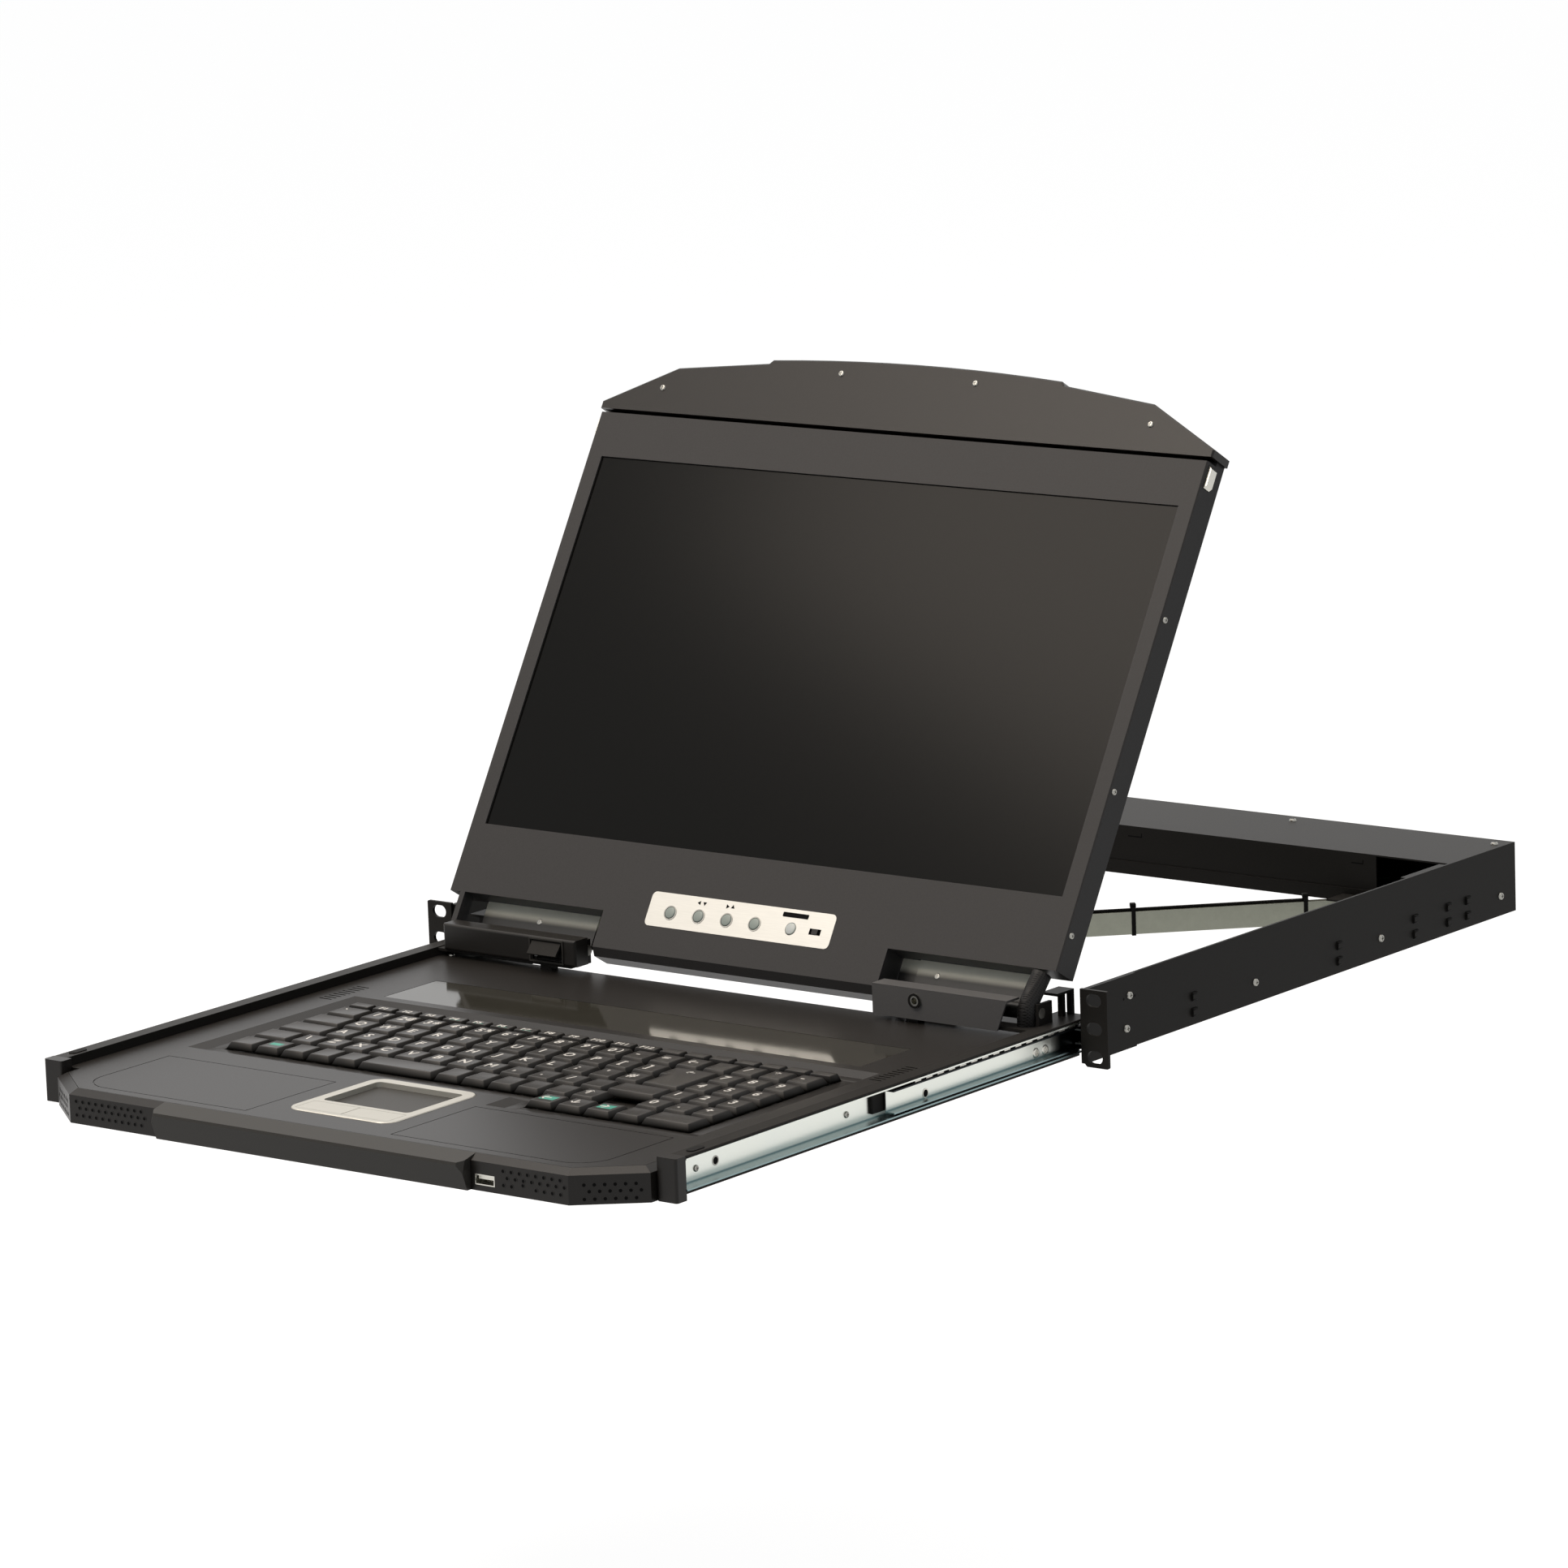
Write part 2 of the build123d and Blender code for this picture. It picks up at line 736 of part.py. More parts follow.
def arm_cable(side):
    middle = side * (arm_offset + arm_flange / 2)
    ends = (5 * arm_eye_radius, arm_length - 5 * arm_eye_radius)
    top = arm_top + 2 * arm_cable_radius
    pieces = [rod_y(middle, ends, arm_top + arm_cable_radius, arm_cable_radius)]
    for share in (0.22, 0.72):
        y = span(arm_length * share, tie_width)
        outer = slab(span(middle, arm_flange + 2 * tie_thickness), y,
                     (arm_foot - tie_thickness, top + tie_thickness))
        pieces.append(outer - slab(span(middle, arm_flange), (y[0] - 1, y[1] + 1), (arm_foot, top)))
    return group(pieces)


def rear_arm_cable():
    return rear_arm_frame * arm_cable(1)


def front_arm_cable():
    return front_arm_frame * arm_cable(-1)


# Drawer tray
def tray_pan():
    y = (-drawer_reach, deck_rear)
    floor = slab((-drawer_half, drawer_half), y, (tray_bottom, tray_bottom + tray_sheet))
    rear = slab((-drawer_half, drawer_half), (deck_rear - tray_sheet, deck_rear), (tray_bottom, deck_bottom))
    wall = slab((tray_inner, drawer_half), (-drawer_reach, tray_arm_end), (tray_bottom, rim_top))
    rim_z = (rim_top - tray_sheet, rim_top)
    rim = slab((tray_inner, drawer_half + rim_overhang), (-drawer_reach, tray_arm_end), rim_z)
    rim = fillet(rim.edges().filter_by(Axis.Y).group_by(Axis.X)[-1].sort_by(Axis.Z)[-1], tray_sheet / 2)
    shelf = slab((tray_inner - arm_shelf_width, tray_inner), (cheek_rear + fit_gap, tray_arm_end), rim_z)
    side = wall + rim + shelf
    lug_z = (arm_top + arm_eye_gap, arm_top + arm_eye_gap + arm_lug)
    lug_end = arm_front_y + arm_eye_radius
    lug = slab(span(arm_x, 2 * arm_lug_half), (deck_rear - tray_sheet, lug_end), lug_z)
    return floor + rear + side + mirrored(side) + lug


def bezel_outline(rear):
    """The bezel's plan: straight sides, angled corner facets and a straight front."""
    shoulder = bezel_front + facet_depth
    right = [(facet_half, bezel_front), (bezel_half, shoulder), (bezel_half, rear)]
    left = [(-x, y) for x, y in reversed(right)]
    return make_face(Polyline(*right, *left, close=True))


def inset_outline(amount, rear):
    """The same plan drawn in by an amount, with its rear edge kept on a line."""
    inset = offset(bezel_outline(rear + 3 * amount), -amount, kind=Kind.INTERSECTION)
    keep = Pos(0, rear - bezel_depth) * Rectangle(3 * bezel_half, 2 * bezel_depth)
    return inset & keep


def front_bezel():
    slope = degrees(acos(bezel_bevel_drop / (bezel_bevel_drop ** 2 + bezel_bevel_run ** 2) ** 0.5))
    long_plan = bezel_outline(-drawer_reach + bezel_depth)
    body = Pos(0, 0, tray_bottom) * extrude(long_plan, bezel_top - tray_bottom)
    body += Pos(0, 0, bezel_top) * extrude(long_plan, bezel_bevel_drop, taper=slope)
    behind = (-drawer_reach, -drawer_reach + 2 * bezel_depth)
    body -= slab(span(0, 3 * bezel_half), behind, (tray_bottom - 1, deck_top + 1))
    seat_plan = inset_outline(bezel_bevel_run + fit_gap, -drawer_reach + 1)
    seat = Pos(0, 0, deck_bottom) * extrude(seat_plan, 2 * deck_thickness)
    hollow_low = tray_bottom + bezel_floor
    hollow_plan = inset_outline(bezel_wall, -drawer_reach + 1)
    hollow = Pos(0, 0, hollow_low) * extrude(hollow_plan, deck_bottom - hollow_low)
    usb_y = (bezel_front - 1, bezel_front + usb_depth + 1)
    usb = slab(span(usb_x, usb_width + 0.2), usb_y, span(usb_z, usb_height + 0.2))
    return body - seat - hollow - usb


def handle_bar():
    tip = bezel_front - handle_reach
    profile = [(bezel_front + bezel_bevel_run, deck_top), (tip + 0.5, deck_top - handle_drop),
               (tip, deck_top - handle_drop - 1.5), (bezel_front - handle_reach + handle_undercut, tray_bottom),
               (bezel_front, tray_bottom), (bezel_front, bezel_top)]
    bar = prism_x(profile, -handle_half, handle_half)
    ends = bar.edges().filter_by(Plane.YZ).group_by(Axis.Y)[0]
    return chamfer(ends, 3)


def front_sockets():
    shell = slab(span(usb_x, usb_width), (bezel_front, bezel_front + usb_depth), span(usb_z, usb_height))
    shell -= slab(span(usb_x, usb_width - 2 * usb_shell), (bezel_front - 1, bezel_front + usb_depth - 1),
                  span(usb_z, usb_height - 2 * usb_shell))
    shell += slab(span(usb_x, usb_width - 3), (bezel_front + 1.5, bezel_front + usb_depth),
                  (usb_z + 0.1, usb_z + usb_height / 2 - usb_shell - 0.3))
    jack = rod_y(jack_x, (cover_front - 0.6, cover_front + jack_length), jack_z, jack_radius)
    jack -= rod_y(jack_x, (cover_front - 1, cover_front + jack_length - 1.5), jack_z, jack_radius / 2)
    return group([shell, jack])


def corner_blocks():
    inner = bezel_half + fit_gap
    block_y = (-drawer_reach - block_depth, -drawer_reach)
    block = slab((inner, drawer_half + rim_overhang), block_y, (tray_bottom, rim_top))
    front = block.edges().filter_by(Axis.Z).group_by(Axis.Y)[0]
    return pair(fillet(front, 1.5))


def rim_bumpers():
    pad = extrude(SlotOverall(bumper_length, bumper_width, rotation=90), bumper_height)
    return pair(Pos(tray_inner + bumper_width, -drawer_reach + bumper_setback, rim_top) * pad)


# Keyboard: the width of each place in a row, where a negative width is a place with no key
pad_keys = [1] * pad_key_count
letters = [1] * letter_key_count
key_rows = {
    "function_keys": [1] * function_key_count,
    "number_keys": [1.3] + [1] * number_key_count,
    "upper_letter_keys": [1.6] + letters + [1.75] + pad_keys,
    "home_row_keys": [1.85] + letters + [1.5] + pad_keys,
    "lower_letter_keys": [1.45] + letters + [1.9] + pad_keys,
    "bottom_row_keys": [1.1] + [1] * left_key_count + [2.9] + [1] * right_key_count + [-1.35] + pad_keys,
    "arrow_keys": [-12.33] + [1.05] * arrow_key_count + [1.82],
}
space_index = 1 + left_key_count
enter_index = 1 + letter_key_count
single_keys = {"upper_letter_keys": enter_index, "home_row_keys": enter_index, "bottom_row_keys": space_index}
key_flank = degrees(acos(key_height / (key_height ** 2 + key_taper ** 2) ** 0.5))


def key_spans(name):
    """Left and right limits of each place in a row."""
    widths = key_rows[name]
    pitch = keyboard_width / sum(abs(width) for width in widths)
    spans = []
    left = keyboard_left
    for width in widths:
        spans.append((left, left + abs(width) * pitch))
        left += abs(width) * pitch
    return spans


def row_y(name):
    """Front and rear limits of a row. The function keys at the rear are shallow, the others are alike."""
    row = list(key_rows).index(name)
    front = keyboard_rear - function_row_depth - row * key_pitch_y
    return (front, front + (key_pitch_y if row else function_row_depth))


def plain_keys(name):
    """Places of a row's common keys, without the space bar and the tall Enter key."""
    places = enumerate(zip(key_spans(name), key_rows[name]))
    return [(x, row_y(name)) for place, (x, width) in places if width > 0 and place != single_keys.get(name)]


def enter_corners():
    """Plan of the Enter key: a wide head in the upper row and a narrower foot in the home row."""
    gap = key_gap / 2
    head, foot = key_spans("upper_letter_keys")[enter_index], key_spans("home_row_keys")[enter_index]
    low, high = row_y("home_row_keys"), row_y("upper_letter_keys")
    right = head[1] - gap
    return [(foot[0] + gap, low[0] + gap), (right, low[0] + gap), (right, high[1] - gap),
            (head[0] + gap, high[1] - gap), (head[0] + gap, high[0] + gap), (foot[0] + gap, high[0] + gap)]


def space_place():
    return key_spans("bottom_row_keys")[space_index], row_y("bottom_row_keys")


def enter_stem():
    (left, low), (right, _), (_, high) = enter_corners()[:3]
    return (left + right) / 2, (low + high) / 2


def key_stem_at(middle):
    return Pos(*middle) * slab(span(0, key_stem), span(0, key_stem), (key_foot - stem_length, key_foot))


key_foot = key_top - key_height


def key_cap(x, y):
    """A cap with sloped flanks, standing on a square stem."""
    middle = (sum(x) / 2, sum(y) / 2)
    plan = Rectangle(x[1] - x[0] - key_gap, y[1] - y[0] - key_gap)
    return Pos(*middle, key_foot) * extrude(plan, key_height, taper=key_flank) + key_stem_at(middle)


def key_row(name):
    keys = [key_cap(*place) for place in plain_keys(name)]
    if name == "bottom_row_keys":
        keys += [key_cap(*place) for place in plain_keys("arrow_keys")]
    if name == "home_row_keys":
        plan = make_face(Polyline(*enter_corners(), close=True))
        keys.append(Pos(0, 0, key_foot) * extrude(plan, key_height, taper=key_flank) + key_stem_at(enter_stem()))
    return group(keys)


def space_bar():
    return key_cap(*space_place())


arrow_left = plain_keys("arrow_keys")[0][0][0]
recess_x = (keyboard_left - recess_margin, keyboard_left + keyboard_width + recess_margin)
recess_y = (row_y("bottom_row_keys")[0] - recess_margin, keyboard_rear + recess_margin)
arrow_recess_x = (arrow_left - recess_margin, recess_x[1])
arrow_recess_y = (keyboard_front - recess_margin, recess_y[1])


def keyboard_base():
    """Plate under the keys, with a square guide for every stem."""
    high = recess_floor
    lap = 2 * skirt
    plate_z = (high - keyboard_plate, high)
    plate = slab((recess_x[0] - lap, recess_x[1] + lap), (recess_y[0] - lap, recess_y[1] + lap), plate_z)
    plate += slab((arrow_recess_x[0] - lap, arrow_recess_x[1] + lap), (arrow_recess_y[0] - lap, recess_y[0]), plate_z)
    middles = [enter_stem()]
    for x, y in [space_place()] + [place for name in key_rows for place in plain_keys(name)]:
        middles.append((sum(x) / 2, sum(y) / 2))
    hole = Box(key_stem + 2 * stem_gap, key_stem + 2 * stem_gap, 4 * keyboard_plate)
    return plate - [Pos(*middle, high) * hole for middle in middles]


def recess_cone(grow):
    """The keyboard recess: wide at the deck's top, closing in towards the floor, with a bay for the arrow keys."""
    slope = degrees(acos(recess_depth / (recess_depth ** 2 + recess_slope_run ** 2) ** 0.5))
    reach = 2 * (recess_slope_run + grow)
    cones = []
    for x, y in ((recess_x, recess_y), (arrow_recess_x, arrow_recess_y)):
        plan = Rectangle(x[1] - x[0] + reach, y[1] - y[0] + reach)
        cones.append(Pos(sum(x) / 2, sum(y) / 2, deck_top) * extrude(plan, -recess_depth, taper=slope))
    return cones[0] + cones[1]


def palm_panel(x, y):
    """A thin groove round a palm rest panel, whose outer front corner is rounded."""
    plan = Pos(sum(x) / 2, sum(y) / 2) * Rectangle(x[1] - x[0], y[1] - y[0])
    corner = plan.vertices().group_by(Axis.Y)[0].sort_by(lambda vertex: abs(vertex.X))[-1]
    plan = fillet(corner, palm_radius)
    groove_plan = plan - offset(plan, -palm_groove)
    return Pos(0, 0, deck_top - palm_groove_depth) * extrude(groove_plan, 2 * palm_groove_depth)


pad_left = pad_x - pad_frame_width / 2
pad_right = pad_x + pad_frame_width / 2
palm_front = bezel_front + palm_front_gap
left_palm_rear = pad_rear - palm_rear_gap
right_palm_rear = arrow_recess_y[0] - recess_slope_run - palm_arrow_gap


def keyboard_deck():
    low = Pos(0, 0, deck_bottom)
    deck = slab((-deck_half, deck_half), (-drawer_reach, deck_rear), (deck_bottom, deck_top))
    deck += low * extrude(inset_outline(bezel_bevel_run + 2 * fit_gap, -drawer_reach + fit_gap), deck_thickness)
    deck += recess_cone(skirt) - recess_cone(0)
    deck -= recess_cone(0)
    deck -= slab((-window_half, window_half), (window_rear - window_depth, window_rear),
                 (deck_top - window_thickness, deck_top + 1))
    frame = Rectangle(pad_frame_width + fit_gap, pad_frame_depth + fit_gap)
    opening = extrude(fillet(frame.vertices(), pad_frame_radius), 4 * deck_thickness, both=True)
    deck -= Pos(pad_x, (pad_front + pad_rear) / 2, deck_top) * opening
    slots = []
    for step in range(vent_count):
        y = vent_y + (step - (vent_count - 1) / 2) * vent_pitch
        for x in (-vent_x, vent_x):
            slots.append(slab(span(x, vent_slot_length), span(y, vent_slot_width),
                              (deck_bottom - 1, deck_top + 1)))
    deck -= slots
    deck -= palm_panel((-palm_outer, pad_left - palm_pad_gap), (palm_front, left_palm_rear))
    deck -= palm_panel((pad_right + palm_pad_gap, palm_outer), (palm_front, right_palm_rear))
    return deck


def indicator_window():
    gap = fit_gap / 2
    return slab((-window_half + gap, window_half - gap), (window_rear - window_depth + gap, window_rear - gap),
                (deck_top - window_thickness, deck_top - 0.1))


# Touchpad
pad_well_front = pad_front + pad_well_setback
pad_well = (span(pad_x, pad_well_width), (pad_well_front, pad_well_front + pad_well_depth))
pad_button_y = span((pad_front + pad_well_front) / 2, pad_button_depth)


def pad_button_x(side):
    middle = pad_x + side * (pad_button_width / 2 + pad_button_gap)
    return span(middle, pad_button_width)


def touchpad_frame():
    plan = fillet(Rectangle(pad_frame_width, pad_frame_depth).vertices(), pad_frame_radius)
    frame = extrude(plan, deck_thickness + pad_frame_proud)
    frame = Pos(pad_x, (pad_front + pad_rear) / 2, deck_bottom) * frame
    top_edge = frame.faces().sort_by(Axis.Z)[-1].edges()
    frame = chamfer(top_edge, pad_frame_proud)
    well = fillet(Rectangle(pad_well_width, pad_well_depth).vertices(), pad_well_radius)
    frame -= Pos(pad_x, sum(pad_well[1]) / 2, deck_top) * extrude(well, 4 * deck_thickness, both=True)
    gap = pad_button_gap
    left, right = pad_button_x(-1), pad_button_x(1)
    frame -= slab((left[0] - gap, right[1] + gap), (pad_button_y[0] - gap, pad_button_y[1] + gap),
                  (deck_bottom - 1, deck_top + 2 * pad_frame_proud))
    return frame


def touchpad_sensor():
    lap = 2.0
    return slab((pad_well[0][0] - lap, pad_well[0][1] + lap), (pad_well[1][0] - lap / 2, pad_well[1][1] + lap),
                (deck_bottom - pad_sensor_thickness, deck_bottom))


def pad_button(side):
    return slab(pad_button_x(side), pad_button_y, (deck_bottom, deck_top + pad_frame_proud))


# Hinges and their covers
def hinge_brackets():
    """A strip under each cover with cheeks that carry the pin, and a small table on the tray's arm."""
    strip = slab((inner_cheek_x, tray_inner), (strip_front, strip_rear), (strip_z, strip_z + strip_thickness))
    cheek_front = deck_rear + fit_gap
    outer = slab((tray_inner - cheek_thickness, tray_inner), (cheek_front, cheek_rear), (cheek_foot, cheek_top))
    inner_x = (inner_cheek_x, inner_cheek_x + cheek_thickness)
    inner = slab(inner_x, (cheek_front - 2, cheek_rear - 4), (strip_z, cheek_top))
    stand = slab(span(post_x, post_width), (strip_front + 1, strip_front + 1 + post_depth), (deck_top, strip_z))
    bracket = strip + outer + inner + stand
    bracket -= rod_x((0, drawer_half), hinge_y, hinge_z, pin_radius + pin_fit)
    table_x = (tray_inner - table_inset - table_width, tray_inner - table_inset)
    table_y = (table_front, tray_arm_end - fit_gap)
    table = slab(table_x, table_y, (table_top - table_sheet, table_top))
    legs_z = (rim_top, table_top - table_sheet)
    middle = sum(table_y) / 2
    table += slab((table_x[1] - 1.5 * table_leg, table_x[1] - 0.5 * table_leg), span(middle, table_leg), legs_z)
    table += slab((table_x[1] - table_leg, table_x[1]), (table_y[1] - table_leg, table_y[1]), legs_z)
    return pair(group([bracket, table]))


def hinge_pins():
    return pair(rod_x((inner_cheek_x - 3, tray_inner), hinge_y, hinge_z, pin_radius))


def hinge_leaves():
    """Lid side of each hinge: a knuckle round the pin, two gussets and a plate under the lid's back."""
    x = (knuckle_inner, knuckle_outer)
    inside = lid_back + sheet
    leaf = slab(x, (-gusset_reach, notch_head + leaf_lap), (inside, inside + leaf_thickness))
    for low in (x[0], x[1] - gusset):
        leaf += slab((low, low + gusset), (-gusset_reach, gusset_reach), (inside, 0))
    leaf += rod_x(x, 0, 0, knuckle_radius)
    leaf -= rod_x((x[0] - 1, x[1] + 1), 0, 0, pin_radius + pin_fit)
    return pair(lid_frame * leaf)


cover_back = cover_front + cover_depth
cover_foot = strip_z + strip_thickness
flap_pivot = (cover_front + cover_wall / 2, cover_top - flap_pivot_drop)
flap_opening_top = flap_pivot[1] + flap_gap + flap_thickness / 2
flap_opening_z = (flap_opening_top - flap_opening_height, flap_opening_top)


def left_hinge_cover():
    box = slab((-cover_outer, -cover_inner), (cover_front, cover_back), (cover_foot, cover_top))
    front = box.edges().group_by(Axis.Y)[0]
    box = fillet(front, cover_radius / 2)
    inside_x = (-cover_outer + cover_wall, -cover_inner - cover_wall)
    box -= slab(inside_x, (cover_front + cover_wall, cover_back + 1), (cover_foot - 1, cover_top - cover_wall))
    opening_x = span(flap_x, flap_width + 2 * flap_gap)
    box -= slab(opening_x, (cover_front - 1, cover_front + cover_wall + 1), flap_opening_z)
    reach = flap_width + 2 * flap_pin_length + 2 * flap_gap
    return box - rod_x(span(flap_x, reach), *flap_pivot, flap_pin_radius + pin_fit)


def service_flap():
    """A small door hung from the top of its opening, standing open."""
    half = flap_width / 2
    leaf = slab((-half, half), (-flap_thickness / 2, flap_thickness / 2), (-flap_length, 0))
    leaf += rod_x((-half, half), 0, 0, flap_thickness / 2)
    leaf += rod_x((-half - flap_pin_length, half + flap_pin_length), 0, 0, flap_pin_radius)
    return Pos(flap_x, *flap_pivot) * Rot(X=-flap_open) * leaf


def right_hinge_cover():
    """Bent sheet: a front face with a slanted outer end, and a flange over the hinge."""
    foot = right_cover_foot
    face = [(cover_inner, foot), (right_cover_outer - right_cover_slant, foot), (right_cover_outer, cover_top),
            (cover_inner, cover_top)]
    front = Plane.XZ * make_face(Polyline(*face, close=True))
    sheet_face = Pos(0, cover_front, 0) * extrude(front, right_cover_sheet, dir=(0, 1, 0))
    flange_z = (cover_top - right_cover_sheet, cover_top)
    flange = slab((cover_inner, right_cover_outer), (cover_front, cover_back), flange_z)
    end_x = (cover_inner, cover_inner + right_cover_sheet)
    end = slab(end_x, (cover_front, cover_back), (cover_foot, cover_top))
    cover = sheet_face + flange + end
    return cover - rod_y(jack_x, (cover_front - 1, cover_front + 3), jack_z, jack_radius + 0.1)


def cable_sleeve():
    sleeve = rod_y(sleeve_x, (sleeve_foot, notch_head), -sleeve_depth, sleeve_radius)
    return lid_frame * sleeve


# Lid
def lid_outline(head):
    """The lid's plan: a wide screen part over a narrower tab that runs down between the hinges."""
    right = [(notch_inner, tab_foot), (notch_inner, notch_head), (lid_half, notch_head), (lid_half, head)]
    left = [(-x, y) for x, y in reversed(right)]
    return make_face(Polyline(*right, *left, close=True))


def tab_edge(part):
    return part.edges().filter_by(Axis.X).group_by(Axis.Y)[0].sort_by(Axis.Z)[-1]


def lid_bezel():
    plan = lid_outline(lid_head)
    shell = Pos(0, 0, lid_part_line) * extrude(plan, lid_parting)
    shell = chamfer(tab_edge(shell), tab_chamfer)
    sides = shell.edges().filter_by(Axis.Y).group_by(Axis.Z)[-1]
    shell = chamfer([edge for edge in sides if abs(edge.center().X) > lid_half - 1], lid_edge_chamfer)
    inner = offset(plan, -lid_sheet, kind=Kind.INTERSECTION)
    hollow = Pos(0, 0, lid_part_line - 1) * extrude(inner, panel_face - lid_part_line + 1)
    hollow = chamfer(tab_edge(hollow), tab_chamfer - lid_sheet / 2)
    shell -= hollow
    shell -= slab(span(0, screen_width), (screen_foot, screen_foot + screen_height), (0, lid_front + 1))
    for x in (*button_x, power_button_x):
        shell -= post(x, button_height, (0, lid_front + 1), button_radius + button_gap)
    switch_slot = span(switch_x, switch_width + switch_travel + 1)
    shell -= slab(switch_slot, span(button_height, switch_height + 0.6), (0, lid_front + 1))
    gap = fit_gap
    for side in (-1, 1):
        x = (side * lid_half - 3, side * lid_half + 3)
        z = (lid_part_line - 1, catch_low + catch_depth + gap)
        shell -= slab(x, span(catch_y, catch_height + 2 * gap), z)
    cheek_x = (-cover_outer - fit_gap - lid_cheek_width, -cover_outer - fit_gap)
    cheek = slab(cheek_x, (0, notch_head), (lid_part_line, lid_front))
    cheek += rod_x(cheek_x, 0, 0, lid_cheek_radius)
    cheek -= rod_x((cheek_x[0] - 1, cheek_x[1] + 1), 0, 0, pin_radius + 2 * pin_fit)
    return lid_frame * (shell + cheek)


def lid_back_cover():
    plan = lid_outline(lid_head + groove)
    shell = Pos(0, 0, lid_back) * extrude(plan, lid_part_line - lid_back)
    inner = offset(plan, -lid_sheet, kind=Kind.INTERSECTION)
    shell -= Pos(0, 0, lid_back + sheet) * extrude(inner, lid_thickness)
    for side in (-1, 1):
        x = (side * knuckle_inner - gusset, side * knuckle_outer + gusset)
        if side < 0:
            x = (side * knuckle_outer - gusset, side * knuckle_inner + gusset)
        slot_z = (lid_back + sheet, lid_back + sheet + leaf_thickness + fit_gap)
        shell -= slab(x, (notch_head - 1, notch_head + lid_sheet + 1), slot_z)
    return lid_frame * shell


def lcd_panel():
    rim = screen_rim
    high = screen_foot + screen_height + 2 * rim
    panel_z = (panel_face - screen_thickness, panel_face)
    panel = slab(span(0, screen_width + 2 * rim), (screen_foot - rim, high), panel_z)
    return lid_frame * panel


def arch(wall):
    """Plan of the upper handle: sloping shoulders and an arched middle raised by a small step."""
    end_x, shoulder_x, step_x = handle_plate_half - wall, arch_shoulder_x - wall, arch_step_x - wall
    foot_y = lid_head + groove
    step_y = lid_head + arch_step_rise - wall
    top_y = step_y + arch_step
    crown = (step_x - arch_step, top_y)
    middle = ThreePointArc(crown, (0, top_y + arch_crown), (-crown[0], crown[1]))
    corners = [(end_x, foot_y), (end_x, lid_head + arch_end_rise - wall),
               (shoulder_x, lid_head + arch_shoulder_rise - wall), (step_x, step_y), crown]
    right = Polyline(*corners)
    left = Polyline(*[(-x, y) for x, y in reversed(corners)])
    foot = Line((-end_x, foot_y), (end_x, foot_y))
    return make_face([right, middle, left, foot])


def lid_top_plate():
    plate = Pos(0, 0, lid_back) * extrude(arch(0), lid_thickness)
    rim = plate.faces().sort_by(Axis.Z)[-1].edges()
    plate = chamfer([edge for edge in rim if edge.center().Y > lid_head + groove + 1], 1.0)
    wall = handle_plate_wall
    plate -= Pos(0, -wall, lid_back + wall) * extrude(arch(wall), lid_thickness - 2 * wall)
    return lid_frame * plate


def lid_catch():
    low = lid_half + catch_proud - catch_length
    bolt_z = (catch_low, catch_low + catch_depth)
    bolt = slab((low, lid_half + catch_proud), span(catch_y, catch_height), bolt_z)
    nose = bolt.edges().filter_by(Axis.Z).group_by(Axis.X)[-1]
    bolt = chamfer(nose, catch_proud * 0.8)
    return lid_frame * bolt


def screen_button(x):
    """A round cap with a flange behind the bezel that keeps it in its hole."""
    behind = panel_face - 0.2
    cap = post(x, button_height, (behind - button_flange_drop, lid_front + button_proud), button_radius)
    cap += post(x, button_height, (behind - button_flange_drop, behind), button_radius + button_flange)
    return lid_frame * cap


def mode_switch():
    behind = panel_face - 0.2
    foot = behind - 1.2
    knob = slab(span(switch_x, switch_width), span(button_height, switch_height), (foot, lid_front + 0.6))
    knob += slab(span(switch_x, switch_width + 4), span(button_height, switch_height + 2), (foot, behind))
    return lid_frame * knob


def control_circuit():
    """Board behind the screen buttons, with a switch under each."""
    top = panel_face - board_depth
    lap = control_board_lap
    board_x = (button_x[0] - lap, switch_x + lap)
    board = slab(board_x, span(button_height, control_board_height), (top - board_thickness, top))
    switch_top = panel_face - 0.2 - button_flange_drop - 1.0
    for x in (*button_x, power_button_x):
        board += slab(span(x, 6), span(button_height, 6), (top, switch_top))
    for x in (board_x[0] + control_stud_step, board_x[1] - control_stud_step):
        board += post(x, button_height, (top, panel_face), 2.5)
    return lid_frame * board


